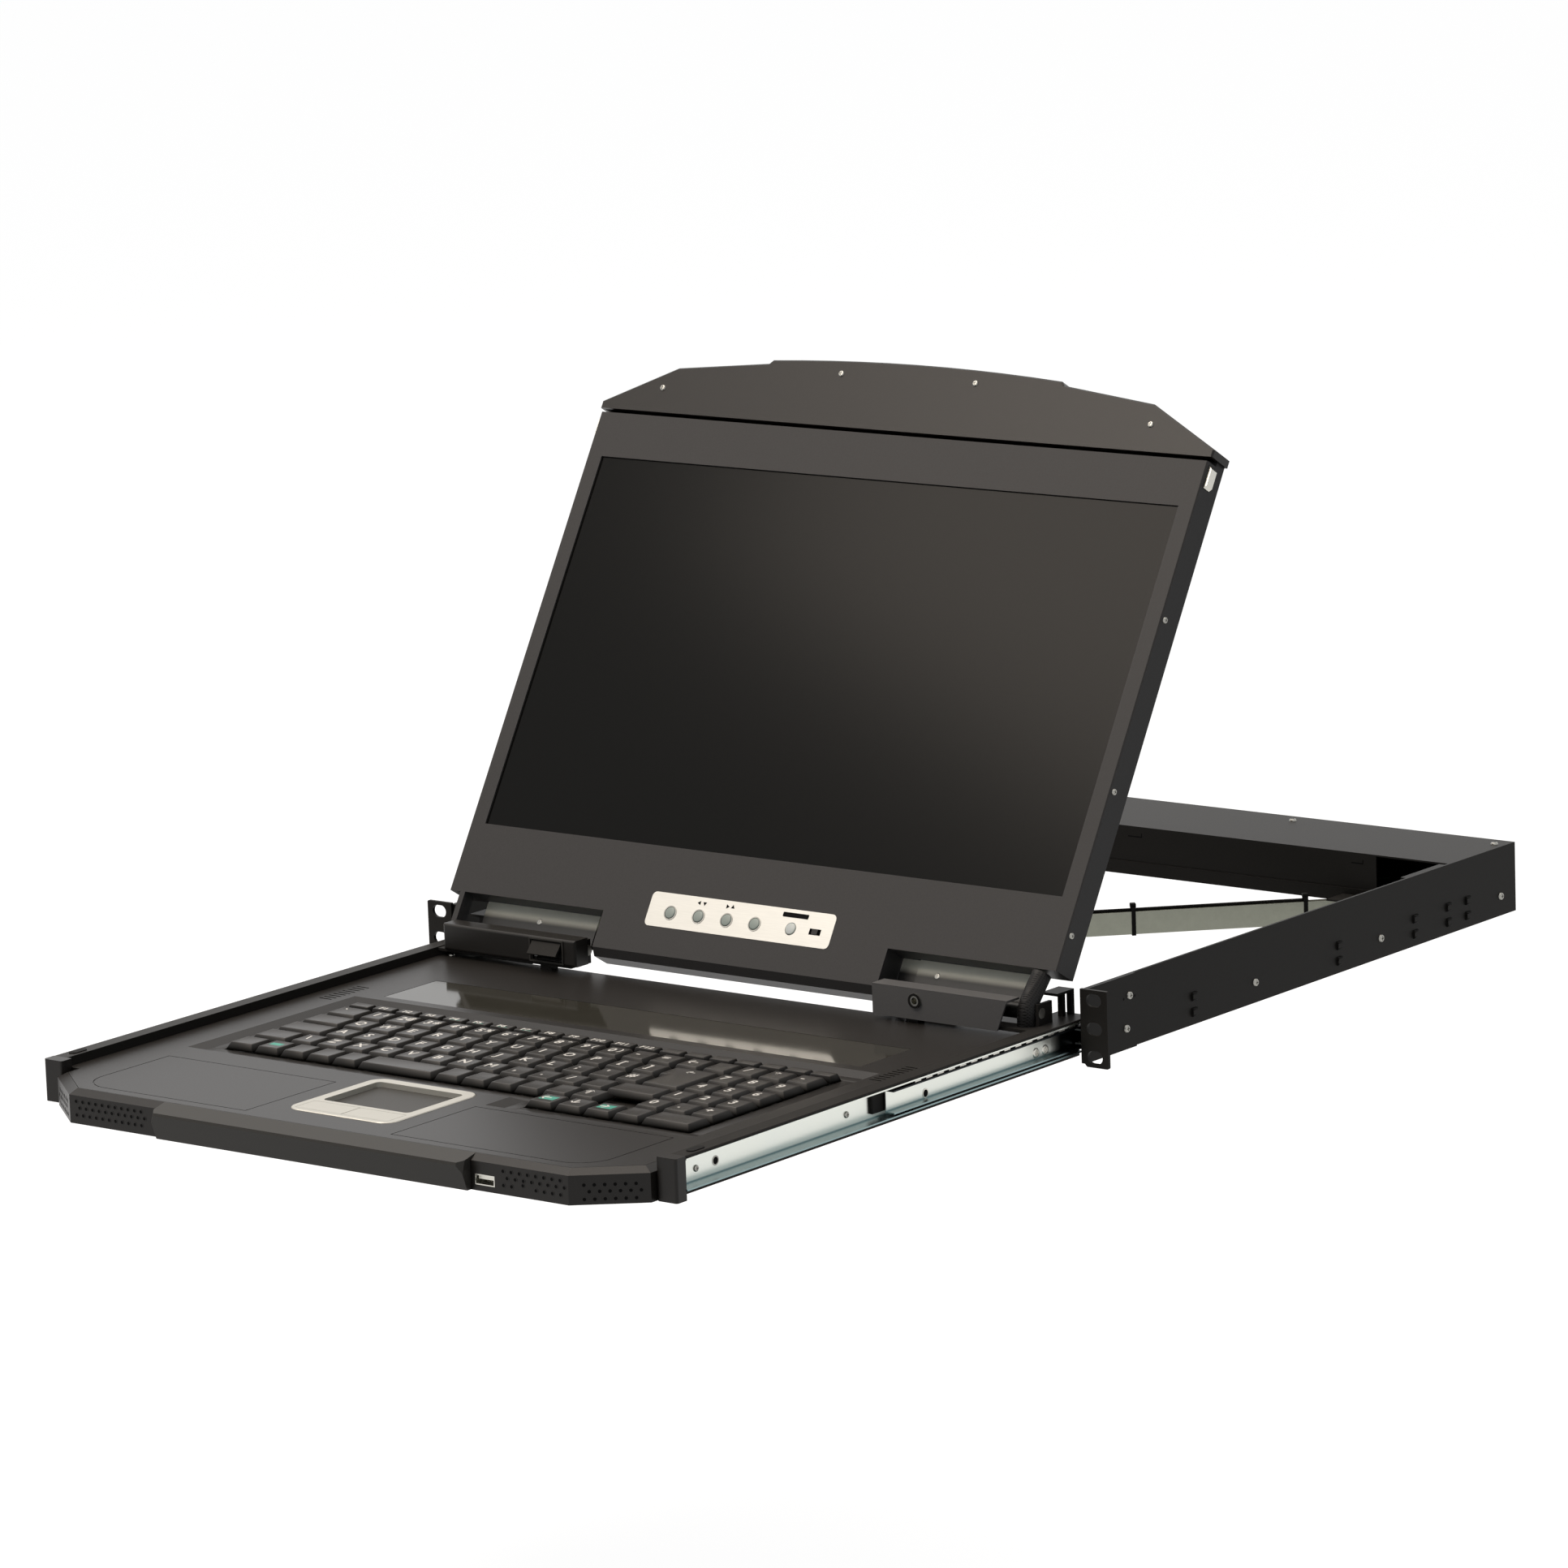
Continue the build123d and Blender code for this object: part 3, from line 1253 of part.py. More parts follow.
nodes = {
    "left_side_plate": mirrored(right_side_plate()),
    "right_side_plate": right_side_plate(),
    "rack_ears": pair(right_rack_ear()),
    "rear_box_pan": rear_box_pan(),
    "rear_box_cover": rear_box_cover(),
    "chassis_screws": chassis_screws(),
    "control_board": control_board(),
    "power_supply": power_supply(),
    "mains_inlet": mains_inlet(),
    "rear_ports": rear_ports(),
    "chassis_rails": chassis_rails(),
    "power_rocker": power_rocker(),
    "middle_rails": middle_rails(),
    "rear_ball_cages": rear_ball_cages(),
    "front_ball_cages": front_ball_cages(),
    "rear_arm_link": rear_arm_link(),
    "rear_arm_cable": rear_arm_cable(),
    "front_arm_link": front_arm_link(),
    "front_arm_cable": front_arm_cable(),
    "tray_pan": tray_pan(),
    "front_bezel": front_bezel(),
    "handle_bar": handle_bar(),
    "keyboard_deck": keyboard_deck(),
    "indicator_window": indicator_window(),
    "keyboard_base": keyboard_base(),
    "touchpad_frame": touchpad_frame(),
    "touchpad_sensor": touchpad_sensor(),
    "front_sockets": front_sockets(),
    "drawer_rails": drawer_rails(),
    "rim_bumpers": rim_bumpers(),
    "corner_blocks": corner_blocks(),
    "left_hinge_cover": left_hinge_cover(),
    "right_hinge_cover": right_hinge_cover(),
    "hinge_brackets": hinge_brackets(),
    "hinge_pins": hinge_pins(),
    "space_bar": space_bar(),
    "left_pad_button": pad_button(-1),
    "right_pad_button": pad_button(1),
    "service_flap": service_flap(),
    "lid_bezel": lid_bezel(),
    "lid_back_cover": lid_back_cover(),
    "lcd_panel": lcd_panel(),
    "lid_top_plate": lid_top_plate(),
    "hinge_leaves": hinge_leaves(),
    "cable_sleeve": cable_sleeve(),
    "menu_button_1": screen_button(button_x[0]),
    "menu_button_2": screen_button(button_x[1]),
    "menu_button_3": screen_button(button_x[2]),
    "menu_button_4": screen_button(button_x[3]),
    "panel_power_button": screen_button(power_button_x),
    "mode_switch": mode_switch(),
    "right_lid_catch": lid_catch(),
    "left_lid_catch": mirrored(lid_catch()),
    "control_circuit": control_circuit(),
}
for name in list(key_rows)[:key_row_count]:
    nodes[name] = key_row(name)

for name, part in nodes.items():
    export_step(part, f"parts/{name}.step")
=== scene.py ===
# %% [markdown]
# # Rackmount console drawer
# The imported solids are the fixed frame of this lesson. Every finish and every small piece below is fitted
# to them in the same axes: +X to the right of the keyboard, +Y into the rack, +Z up. Blender works in
# metres; most sizes and places are written here in millimetres.

# %% Load the frame
import math
import bmesh
import bpy
from mathutils import Matrix, Vector


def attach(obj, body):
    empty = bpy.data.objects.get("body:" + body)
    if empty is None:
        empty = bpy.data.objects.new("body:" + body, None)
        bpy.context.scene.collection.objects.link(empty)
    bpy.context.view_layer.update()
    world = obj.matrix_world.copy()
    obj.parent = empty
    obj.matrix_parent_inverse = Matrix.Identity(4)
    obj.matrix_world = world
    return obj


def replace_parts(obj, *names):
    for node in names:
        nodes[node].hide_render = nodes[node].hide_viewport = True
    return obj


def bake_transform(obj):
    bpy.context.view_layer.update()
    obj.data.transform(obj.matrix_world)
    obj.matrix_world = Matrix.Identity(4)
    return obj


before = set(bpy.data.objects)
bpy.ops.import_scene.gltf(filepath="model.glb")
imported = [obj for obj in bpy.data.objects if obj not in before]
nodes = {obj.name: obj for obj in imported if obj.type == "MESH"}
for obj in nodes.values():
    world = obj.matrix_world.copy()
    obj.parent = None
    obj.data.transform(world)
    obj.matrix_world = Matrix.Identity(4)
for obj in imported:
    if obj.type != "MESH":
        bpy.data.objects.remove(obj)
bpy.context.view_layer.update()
MM = 0.001

# %% [markdown]
# ## Camera
# The photograph was taken from the front right, a little above the deck, with a long lens. Azimuth,
# elevation, roll and distance were found by fitting the rack ears, the drawer and the screen to the
# picture. The distance and the target are in metres.

# %% Camera
AZIMUTH, ELEVATION, ROLL = math.radians(38.2), math.radians(11.37), math.radians(-2.05)
DISTANCE = 4.08154
TARGET = Vector((0.02329, 0.0, 0.11522))
FOCAL_PIXELS, FRAME_PIXELS = 9045.35, 1932
level = math.cos(ELEVATION)
back = Vector((math.sin(AZIMUTH) * level, -math.cos(AZIMUTH) * level, math.sin(ELEVATION)))
right = Vector((math.cos(AZIMUTH), math.sin(AZIMUTH), 0))
up = back.cross(right)
rolled_right = right * math.cos(ROLL) + up * math.sin(ROLL)
rolled_up = up * math.cos(ROLL) - right * math.sin(ROLL)
camera = bpy.data.objects.new("camera", bpy.data.cameras.new("camera"))
bpy.context.scene.collection.objects.link(camera)
camera.data.lens = FOCAL_PIXELS / FRAME_PIXELS * camera.data.sensor_width
camera.data.clip_end = 50
turn = Matrix((rolled_right, rolled_up, back)).transposed().to_4x4()
camera.matrix_world = Matrix.Translation(TARGET + back * DISTANCE) @ turn
bpy.context.scene.camera = camera
bpy.context.scene.view_settings.view_transform = "Standard"
print("lens", round(camera.data.lens, 1), "mm")

# %% [markdown]
# ## Tools for finishes
# One function turns a hex colour to linear light and one adds a shader node with its settings and links.
# The others join a few nodes into what most finishes share: a fine grain that lightens the colour and
# dulls the gloss a little from spot to spot, as it does on any moulded or painted surface.

# %% Tools for finishes
def linear(hex_colour):
    """An sRGB hex colour as linear red, green, blue and alpha."""
    parts = [int(hex_colour[i:i + 2], 16) / 255 for i in (1, 3, 5)]
    return [p / 12.92 if p <= 0.04045 else ((p + 0.055) / 1.055) ** 2.4 for p in parts] + [1.0]


def add(tree, kind, links=(), **settings):
    """A node of that kind. Settings name an input or a property, links are (socket, input name)."""
    node = tree.nodes.new(kind)
    for key, value in settings.items():
        label = key.replace("_", " ")
        if label in node.inputs:
            node.inputs[label].default_value = value
        else:
            setattr(node, key, value)
    for socket, name in links:
        tree.links.new(socket, node.inputs[name])
    return node


def new_finish(name, **settings):
    """An empty material with its output and its surface shader, with settings on the shader's sockets."""
    material = bpy.data.materials.new(name)
    material.use_nodes = True
    tree = material.node_tree
    tree.nodes.clear()
    shader = add(tree, "ShaderNodeBsdfPrincipled", **settings)
    add(tree, "ShaderNodeOutputMaterial", [(shader.outputs["BSDF"], "Surface")])
    return material, tree, shader


def grain(tree, shader, size_mm, strength, distance_mm):
    """A fine bump whose bumps are about size_mm across."""
    place = add(tree, "ShaderNodeTexCoord")
    noise = add(tree, "ShaderNodeTexNoise", [(place.outputs["Object"], "Vector")],
                Scale=1 / (size_mm * MM), Detail=3.0, Roughness=0.55)
    bump = add(tree, "ShaderNodeBump", [(noise.outputs["Fac"], "Height")],
               Strength=strength, Distance=distance_mm * MM)
    tree.links.new(bump.outputs["Normal"], shader.inputs["Normal"])
    return place, noise


def shade_by(tree, shader, factor, dark, light):
    """Base colour that runs between two hex colours with a factor."""
    ramp = add(tree, "ShaderNodeMix", [(factor, "Factor")], data_type="RGBA")
    ramp.inputs[6].default_value = linear(dark)
    ramp.inputs[7].default_value = linear(light)
    tree.links.new(ramp.outputs[2], shader.inputs["Base Color"])


def rough_by(tree, shader, factor, low, high):
    """Roughness that runs between two values with a factor."""
    span = add(tree, "ShaderNodeMapRange", [(factor, "Value")], To_Min=low, To_Max=high)
    tree.links.new(span.outputs["Result"], shader.inputs["Roughness"])


def grained(name, shades, roughness, grit, **settings):
    """A finish from two shades, two values of roughness, and a grit of some size, strength and depth."""
    finish, tree, shader = new_finish(name, **settings)
    _, noise = grain(tree, shader, *grit)
    shade_by(tree, shader, noise.outputs["Fac"], *shades)
    rough_by(tree, shader, noise.outputs["Fac"], *roughness)
    return finish


print("white is", linear("#ffffff"))

# %% [markdown]
# ## Tools for pieces
# Small shapes are made once about the origin and stamped wherever they are needed, so a row of screws
# costs one screw. Blocks and flat sheets with softened edges are the start of most of them. A finished
# piece is one object at the origin that rides on a body of the part.

# %% Tools for pieces
def at(x, y, z):
    """A place given in millimetres."""
    return Matrix.Translation((x * MM, y * MM, z * MM))


def facing(x, y, z, axis, turn_degrees):
    """A place in millimetres, turned about an axis."""
    return at(x, y, z) @ Matrix.Rotation(math.radians(turn_degrees), 4, axis)


def sideways(side, x, y, z):
    """A place on the right side, 1, or the left side, -1, that points outwards."""
    return facing(side * x, y, z, "Y", side * 90)


def block(x, y, z):
    """A block of that size in millimetres about its middle."""
    mesh = bmesh.new()
    bmesh.ops.create_cube(mesh, size=1)
    bmesh.ops.scale(mesh, vec=(x * MM, y * MM, z * MM), verts=mesh.verts)
    return mesh


def flat_sheet(x, y, columns=1):
    """A flat oblong of that size in millimetres about its middle."""
    mesh = bmesh.new()
    bmesh.ops.create_grid(mesh, x_segments=columns, y_segments=1, size=0.5)
    bmesh.ops.scale(mesh, vec=(x * MM, y * MM, 1), verts=mesh.verts)
    return mesh


def disc(radius_mm, segments):
    """A flat disc about the origin."""
    mesh = bmesh.new()
    bmesh.ops.create_circle(mesh, cap_ends=True, segments=segments, radius=radius_mm * MM)
    return mesh


def soften(mesh, geom, offset_mm, segments=2, affect="EDGES"):
    """Round some edges, or the corners of a flat sheet."""
    bmesh.ops.bevel(mesh, geom=geom, offset=offset_mm * MM, offset_type="OFFSET", segments=segments,
                    profile=0.5, affect=affect, material=-1)


def soft_block(x, y, z, offset_mm):
    """A block with all its edges rounded."""
    mesh = block(x, y, z)
    soften(mesh, mesh.edges[:], offset_mm)
    return mesh


def edges_along(mesh, axis):
    """The edges of a block that run along an axis: 0 for X, 1 for Y, 2 for Z."""
    return [edge for edge in mesh.edges if abs(edge.verts[0].co[axis] - edge.verts[1].co[axis]) > 0.01 * MM]


def stamp(target, shape, matrix, finish_index=0):
    """Copy a small shape into a larger mesh at a place."""
    data = bpy.data.meshes.new("stamp")
    shape.to_mesh(data)
    data.transform(matrix)
    for polygon in data.polygons:
        polygon.material_index = finish_index
    target.from_mesh(data)
    bpy.data.meshes.remove(data)


def piece(name, mesh, finishes, body, smooth_angle=None):
    """An object from a bmesh, in place in the shared frame, riding on a body."""
    data = bpy.data.meshes.new(name)
    mesh.to_mesh(data)
    mesh.free()
    if smooth_angle:
        data.shade_smooth()
        data.set_sharp_from_angle(angle=math.radians(smooth_angle))
    obj = bpy.data.objects.new(name, data)
    bpy.context.scene.collection.objects.link(obj)
    for finish in finishes:
        data.materials.append(finish)
    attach(obj, body)
    return obj


print("faces in a block with soft edges", len(soft_block(10, 10, 10, 1).faces))

# %% [markdown]
# ## Finishes
# The chassis, the tray and the lid are sheet steel with a black powder coat: a dull film with an orange-
# peel grain under a millimetre across. It gives the eye a soft black that lightens where it is seen at a
# low angle. The grain is drawn a little coarser than it is, so that it shows. The lid has a finer coat, and
# the bent cover on the right a satin one. Both are painted lighter than the chassis, the cover more, as
# painted highlight for the light that their faces catch.

# %% Powder coat and satin paint
powder = grained("powder_coated_steel", ("#282726", "#31302e"), (0.36, 0.46), (0.9, 0.25, 0.05),
                 IOR=1.5, Specular_IOR_Level=0.07)
# Painted highlight: the lid's coat is a lighter shade of the black powder coat.
lid_paint = grained("satin_powder_coat", ("#454546", "#4e4e4f"), (0.34, 0.44), (0.9, 0.25, 0.05),
                    IOR=1.5, Specular_IOR_Level=0.1)
# Painted highlight: the satin cover is lighter still than the lid.
satin = grained("satin_painted_sheet", ("#5b5b5c", "#646465"), (0.36, 0.44), (0.9, 0.2, 0.04),
                IOR=1.5, Specular_IOR_Level=0.5)
print(powder.name, lid_paint.name, satin.name)

# %% [markdown]
# The bezel, the keyboard deck, the left hinge cover and the upper handle are moulded ABS with a spark-
# eroded texture. It is a little browner than the paint, and its fine pits spread the light more. The
# handle, the touchpad sensor and the service door frame take the same moulding in a lighter grey; on the
# handle and the door frame that grey is painted highlight for the light that the handle's sloped top and
# the frame's edges catch. The keycaps are a smoother ABS with painted shade in their colour: their flanks,
# which stand close together, are painted darker than their tops and darker still towards the foot, and get
# less gloss, so height and slope set the painted shade.

# %% Moulded ABS
abs_black = grained("moulded_black_abs", ("#201e1c", "#282624"), (0.3, 0.4), (0.7, 0.35, 0.06),
                    IOR=1.53, Specular_IOR_Level=0.22)
# A lighter grey copy of the black moulding; on the handle and the service door frame it is painted
# highlight.
grey_abs_and_highlight = grained("grey_abs_and_painted_highlight", ("#373634", "#42413e"), (0.4, 0.5), (0.7, 0.3, 0.05),
                   IOR=1.53, Specular_IOR_Level=0.2)

keycap_abs, tree, shader = new_finish("keycap_abs", IOR=1.53, Specular_IOR_Level=0.3)
place, noise = grain(tree, shader, 0.5, 0.2, 0.03)
# Painted shade: the colour darkens on the steep flanks and towards the foot of each cap, and the flanks get
# less gloss.
spot = add(tree, "ShaderNodeSeparateXYZ", [(place.outputs["Object"], "Vector")])
rise = add(tree, "ShaderNodeMapRange", [(spot.outputs["Z"], "Value")],
           From_Min=-4.0 * MM, From_Max=-0.9 * MM)
surface = add(tree, "ShaderNodeNewGeometry")
way = add(tree, "ShaderNodeSeparateXYZ", [(surface.outputs["Normal"], "Vector")])
top = add(tree, "ShaderNodeMapRange", [(way.outputs["Z"], "Value")], interpolation_type="SMOOTHSTEP",
          From_Min=0.45, From_Max=0.95, To_Min=0.42, To_Max=1.0)
painted_shade = add(tree, "ShaderNodeMath", [(rise.outputs["Result"], 0), (top.outputs["Result"], 1)],
           operation="MULTIPLY")
shade_by(tree, shader, painted_shade.outputs[0], "#0d0d0c", "#33312f")
gloss = add(tree, "ShaderNodeMath", [(painted_shade.outputs[0], 0)], operation="MULTIPLY")
gloss.inputs[1].default_value = 0.3
tree.links.new(gloss.outputs[0], shader.inputs["Specular IOR Level"])
rough_by(tree, shader, noise.outputs["Fac"], 0.32, 0.42)
print(abs_black.name, grey_abs_and_highlight.name, keycap_abs.name)

# %% [markdown]
# The slides are zinc-plated steel: bright, a little blue or yellow from the passivation in clouds some 40
# mm wide, with faint drawn lines along the length of the strip. The lower lip of a rail is turned out and
# mirrors the dark tray above it, so it is painted blue-grey as a painted reflection. The middle rail is
# painted dark along its upper lip as painted shade, and where it comes out of the chassis as a painted
# reflection of the black ear, then plain zinc again further in.

# %% Zinc plate
DRAWN_LINES_PER_MM, CLOUD_WIDTH = 0.9, 40.0


def zinc_plate(name, bands=()):
    """Bright zinc. A band is an axis, two places in mm between which a colour comes in, and the colour."""
    finish, tree, shader = new_finish(name, Metallic=1.0)
    place = add(tree, "ShaderNodeTexCoord")
    lines = add(tree, "ShaderNodeMapping", [(place.outputs["Object"], "Vector")], Scale=(1, 0.03, 1))
    drawn = add(tree, "ShaderNodeTexNoise", [(lines.outputs["Vector"], "Vector")],
                Scale=DRAWN_LINES_PER_MM / MM, Detail=2.0)
    cloud = add(tree, "ShaderNodeTexNoise", [(place.outputs["Object"], "Vector")],
                Scale=1 / (CLOUD_WIDTH * MM), Detail=4.0)
    shade_by(tree, shader, cloud.outputs["Fac"], "#d4d9d5", "#e6e8df")
    spot = add(tree, "ShaderNodeSeparateXYZ", [(place.outputs["Object"], "Vector")])
    for axis, start, end, colour in bands:
        reach = add(tree, "ShaderNodeMapRange", [(spot.outputs[axis], "Value")],
                    From_Min=start * MM, From_Max=end * MM)
        under = shader.inputs["Base Color"].links[0].from_socket
        tint = add(tree, "ShaderNodeMix", [(reach.outputs["Result"], "Factor")], data_type="RGBA")
        tree.links.new(under, tint.inputs[6])
        tint.inputs[7].default_value = linear(colour)
        tree.links.new(tint.outputs[2], shader.inputs["Base Color"])
    bump = add(tree, "ShaderNodeBump", [(drawn.outputs["Fac"], "Height")], Strength=0.12, Distance=0.02 * MM)
    tree.links.new(bump.outputs["Normal"], shader.inputs["Normal"])
    rough_by(tree, shader, cloud.outputs["Fac"], 0.24, 0.38)
    return finish


# Painted bands: the lower lip's painted reflection, the upper lip's painted shade, the mouth's painted
# reflection of the black ear, then plain zinc.
LOWER_LIP, UPPER_LIP_PAINTED_SHADE, MOUTH_PAINTED_REFLECTION, PLAIN_ZINC = "#84989a", "#25282b", "#1d2126", "#d8dcd7"
zinc = zinc_plate("zinc_plated_steel")
drawer_zinc = zinc_plate("zinc_plated_drawer_rail", [("Z", -13.6, -14.3, LOWER_LIP)])
middle_zinc = zinc_plate("zinc_plated_middle_rail", [("Z", -11.4, -12.2, LOWER_LIP),
                                                     ("Z", -1.6, -1.3, UPPER_LIP_PAINTED_SHADE),
                                                     ("Y", -19, -9, MOUTH_PAINTED_REFLECTION), ("Y", 8, 24, PLAIN_ZINC)])
print(zinc.name, drawer_zinc.name, middle_zinc.name)

# %% [markdown]
# The arm links are zinc too, but duller than the slides, and the hinge leaves darken towards the hinge,
# where the covers keep the light off them. The screws are a greyer plate, and the ports and catches are
# bright nickel.

# %% Dull zinc, leaves, screws and nickel
arm_zinc = grained("dull_zinc_strip", ("#83857a", "#9b9d90"), (0.3, 0.42), (6, 0.1, 0.05), Metallic=0.9)
screw_steel = grained("grey_plated_screw", ("#8b8a85", "#a5a49e"), (0.26, 0.36), (0.4, 0.08, 0.02),
                      Metallic=1.0)
nickel = grained("nickel_plated_steel", ("#b9b8b1", "#d3d1c8"), (0.22, 0.34), (0.4, 0.08, 0.02),
                 Metallic=1.0)

leaf_zinc, tree, shader = new_finish("shaded_zinc_leaf", Metallic=0.1)
place, noise = grain(tree, shader, 3, 0.1, 0.05)
spot = add(tree, "ShaderNodeSeparateXYZ", [(place.outputs["Object"], "Vector")])
fall = add(tree, "ShaderNodeMapRange", [(spot.outputs["Z"], "Value")], interpolation_type="SMOOTHSTEP",
           From_Min=16.5 * MM, From_Max=20.5 * MM)
shade_by(tree, shader, fall.outputs["Result"], "#131312", "#f2f2e4")
rough_by(tree, shader, noise.outputs["Fac"], 0.4, 0.5)
print(arm_zinc.name, screw_steel.name, nickel.name, leaf_zinc.name)

# %% [markdown]
# The screen is a panel behind a hard anti-glare film with a low reflection: nearly black, with a faint
# wide sheen. The indicator window is smoked acrylic, glossy and grey, so its look comes from what it
# reflects.

# %% Screen film and smoked acrylic
screen_film = grained("anti_glare_screen_film", ("#0c0c0b", "#11110f"), (0.15, 0.19), (0.25, 0.05, 0.01),
                      IOR=1.45, Specular_IOR_Level=0.1)
acrylic = grained("smoked_acrylic", ("#393833", "#43423c"), (0.05, 0.09), (30, 0.02, 0.02), IOR=1.49)
print(screen_film.name, acrylic.name)

# %% [markdown]
# The touchpad frame and its buttons are ABS with a silver metallic paint, and the label under the screen
# is a brushed foil, with about two fine lines to the millimetre. Menu buttons are grey caps, and the
# power cap is translucent white.

# %% Silver paint, foil and button caps
FOIL_LINES_PER_MM = 2.2
silver = grained("silver_painted_abs", ("#c2c1b9", "#d2d1c9"), (0.36, 0.46), (0.25, 0.12, 0.02),
                 Metallic=0.45)
cap_grey = grained("grey_button_caps", ("#93a19d", "#a4b0ac"), (0.36, 0.44), (0.4, 0.1, 0.02))
cap_white = grained("translucent_white_cap", ("#e4e6e2", "#efefec"), (0.3, 0.4), (0.4, 0.05, 0.02),
                    Subsurface_Weight=0.2)

foil, tree, shader = new_finish("brushed_silver_foil", Metallic=0.6)
place = add(tree, "ShaderNodeTexCoord")
lines = add(tree, "ShaderNodeMapping", [(place.outputs["Object"], "Vector")], Scale=(0.04, 1, 1))
drawn = add(tree, "ShaderNodeTexNoise", [(lines.outputs["Vector"], "Vector")],
            Scale=FOIL_LINES_PER_MM / MM, Detail=2.0)
shade_by(tree, shader, drawn.outputs["Fac"], "#c9c8c2", "#d9d8d2")
rough_by(tree, shader, drawn.outputs["Fac"], 0.34, 0.46)
print(silver.name, foil.name, cap_grey.name, cap_white.name)

# %% [markdown]
# Cords, bumpers and cages are dull black rubber and nylon. The circuit boards have a green solder mask,
# the legends are printed in white and teal ink, and the mouth of a small hole is a black that no light
# reaches.

# %% Rubber, boards, inks and dark holes
INK_GRIT = (0.5, 0.05, 0.01)
rubber = grained("black_rubber", ("#131312", "#1b1a19"), (0.6, 0.72), (0.8, 0.2, 0.04),
                 Specular_IOR_Level=0.12)
board = grained("green_solder_mask", ("#12301c", "#1d4a2b"), (0.3, 0.4), (2.0, 0.2, 0.05))
ink = grained("white_legend_ink", ("#dededa", "#ececea"), (0.45, 0.55), INK_GRIT)
teal_ink = grained("teal_legend_ink", ("#3f9c8a", "#4db09c"), (0.45, 0.55), INK_GRIT)
shadow_hole = grained("unlit_hole", ("#060606", "#0a0a0a"), (0.75, 0.85), INK_GRIT, Specular_IOR_Level=0.1)
print("finishes", len(bpy.data.materials))

# %% [markdown]
# The frame's own solids have the right shapes for the sheet metal and the large mouldings, so they stay
# and only take a finish.

# %% Finishes on the frame's own solids
FINISHES = {
    powder: ["left_side_plate", "right_side_plate", "rack_ears", "rear_box_pan", "rear_box_cover",
             "tray_pan", "hinge_brackets", "service_flap"],
    lid_paint: ["lid_bezel", "lid_back_cover"],
    satin: ["right_hinge_cover"],
    abs_black: ["mains_inlet", "power_rocker", "front_bezel", "keyboard_deck", "corner_blocks",
                "left_hinge_cover", "lid_top_plate", "mode_switch", "keyboard_base"],
    zinc: ["chassis_rails", "power_supply"],
    drawer_zinc: ["drawer_rails"],
    middle_zinc: ["middle_rails"],
    arm_zinc: ["rear_arm_link", "front_arm_link"],
    leaf_zinc: ["hinge_leaves"],
    screw_steel: ["chassis_screws", "hinge_pins"],
    nickel: ["rear_ports", "front_sockets", "right_lid_catch", "left_lid_catch"],
    keycap_abs: ["function_keys", "number_keys", "upper_letter_keys", "home_row_keys", "lower_letter_keys",
                 "bottom_row_keys", "space_bar"],
    silver: ["touchpad_frame", "left_pad_button", "right_pad_button"],
    screen_film: ["lcd_panel"],
    acrylic: ["indicator_window"],
    grey_abs_and_highlight: ["handle_bar", "touchpad_sensor"],
    cap_grey: ["menu_button_1", "menu_button_2", "menu_button_3", "menu_button_4"],
    cap_white: ["panel_power_button"],
    rubber: ["rim_bumpers", "rear_arm_cable", "front_arm_cable", "cable_sleeve", "rear_ball_cages",
             "front_ball_cages"],
    board: ["control_board", "control_circuit"],
}
for finish, names in FINISHES.items():
    for name in names:
        nodes[name].data.materials.clear()
        nodes[name].data.materials.append(finish)
print("dressed", sum(len(names) for names in FINISHES.values()), "nodes")

# %% [markdown]
# ## Keycaps
# A real cap is a moulded shell with sloped flanks, soft edges and a shallow dish in its top. An inset
# with a height turns the flat plan of a key into sloped flanks in one step, a bevel softens the edges,
# and a second small inset sinks the dish. The same steps make the tall Enter key from its six-cornered
# plan.

# %% Keycap shape
CAP_HEIGHT, CAP_FOOT, KEY_GAP = 4.1, -4.5, 0.6
CAP_TAPER, SHALLOW_TAPER, CAP_EDGE = 2.3, 1.3, 0.5
DISH, DISH_RIM = 0.3, 0.9


def keycap(plan, taper=CAP_TAPER):
    """A cap on a flat plan of (x, y) corners in millimetres, standing at z = 0."""
    cap = bmesh.new()
    base = cap.faces.new([cap.verts.new((x * MM, y * MM, 0)) for x, y in plan])
    base.normal_update()
    bmesh.ops.inset_individual(cap, faces=[base], thickness=taper * MM, depth=CAP_HEIGHT * MM,
                               use_even_offset=True)
    soften(cap, [edge for edge in cap.edges if not edge.is_boundary], CAP_EDGE)
    top = max(cap.faces, key=lambda face: face.calc_center_median().z)
    bmesh.ops.inset_individual(cap, faces=[top], thickness=DISH_RIM * MM, depth=-DISH * MM,
                               use_even_offset=True)
    bmesh.ops.holes_fill(cap, edges=[edge for edge in cap.edges if edge.is_boundary], sides=0)
    bmesh.ops.recalc_face_normals(cap, faces=cap.faces)
    return cap


def oblong(x, y):
    """Corners of a key between two limits each way, less the gap to its neighbours."""
    left, right = x[0] + KEY_GAP, x[1] - KEY_GAP
    front, rear = y[0] + KEY_GAP, y[1] - KEY_GAP
    return [(left, front), (right, front), (right, rear), (left, rear)]


print("dish", DISH, "mm deep")

# %% [markdown]
# The legends are printed flat in the dish: single letters, digits, function numbers and arrows. A text
# curve is the short way to a letter's outline. It becomes a mesh first and takes its place afterwards.

# %% Legend shape
LEGEND_WEIGHT = 0.2


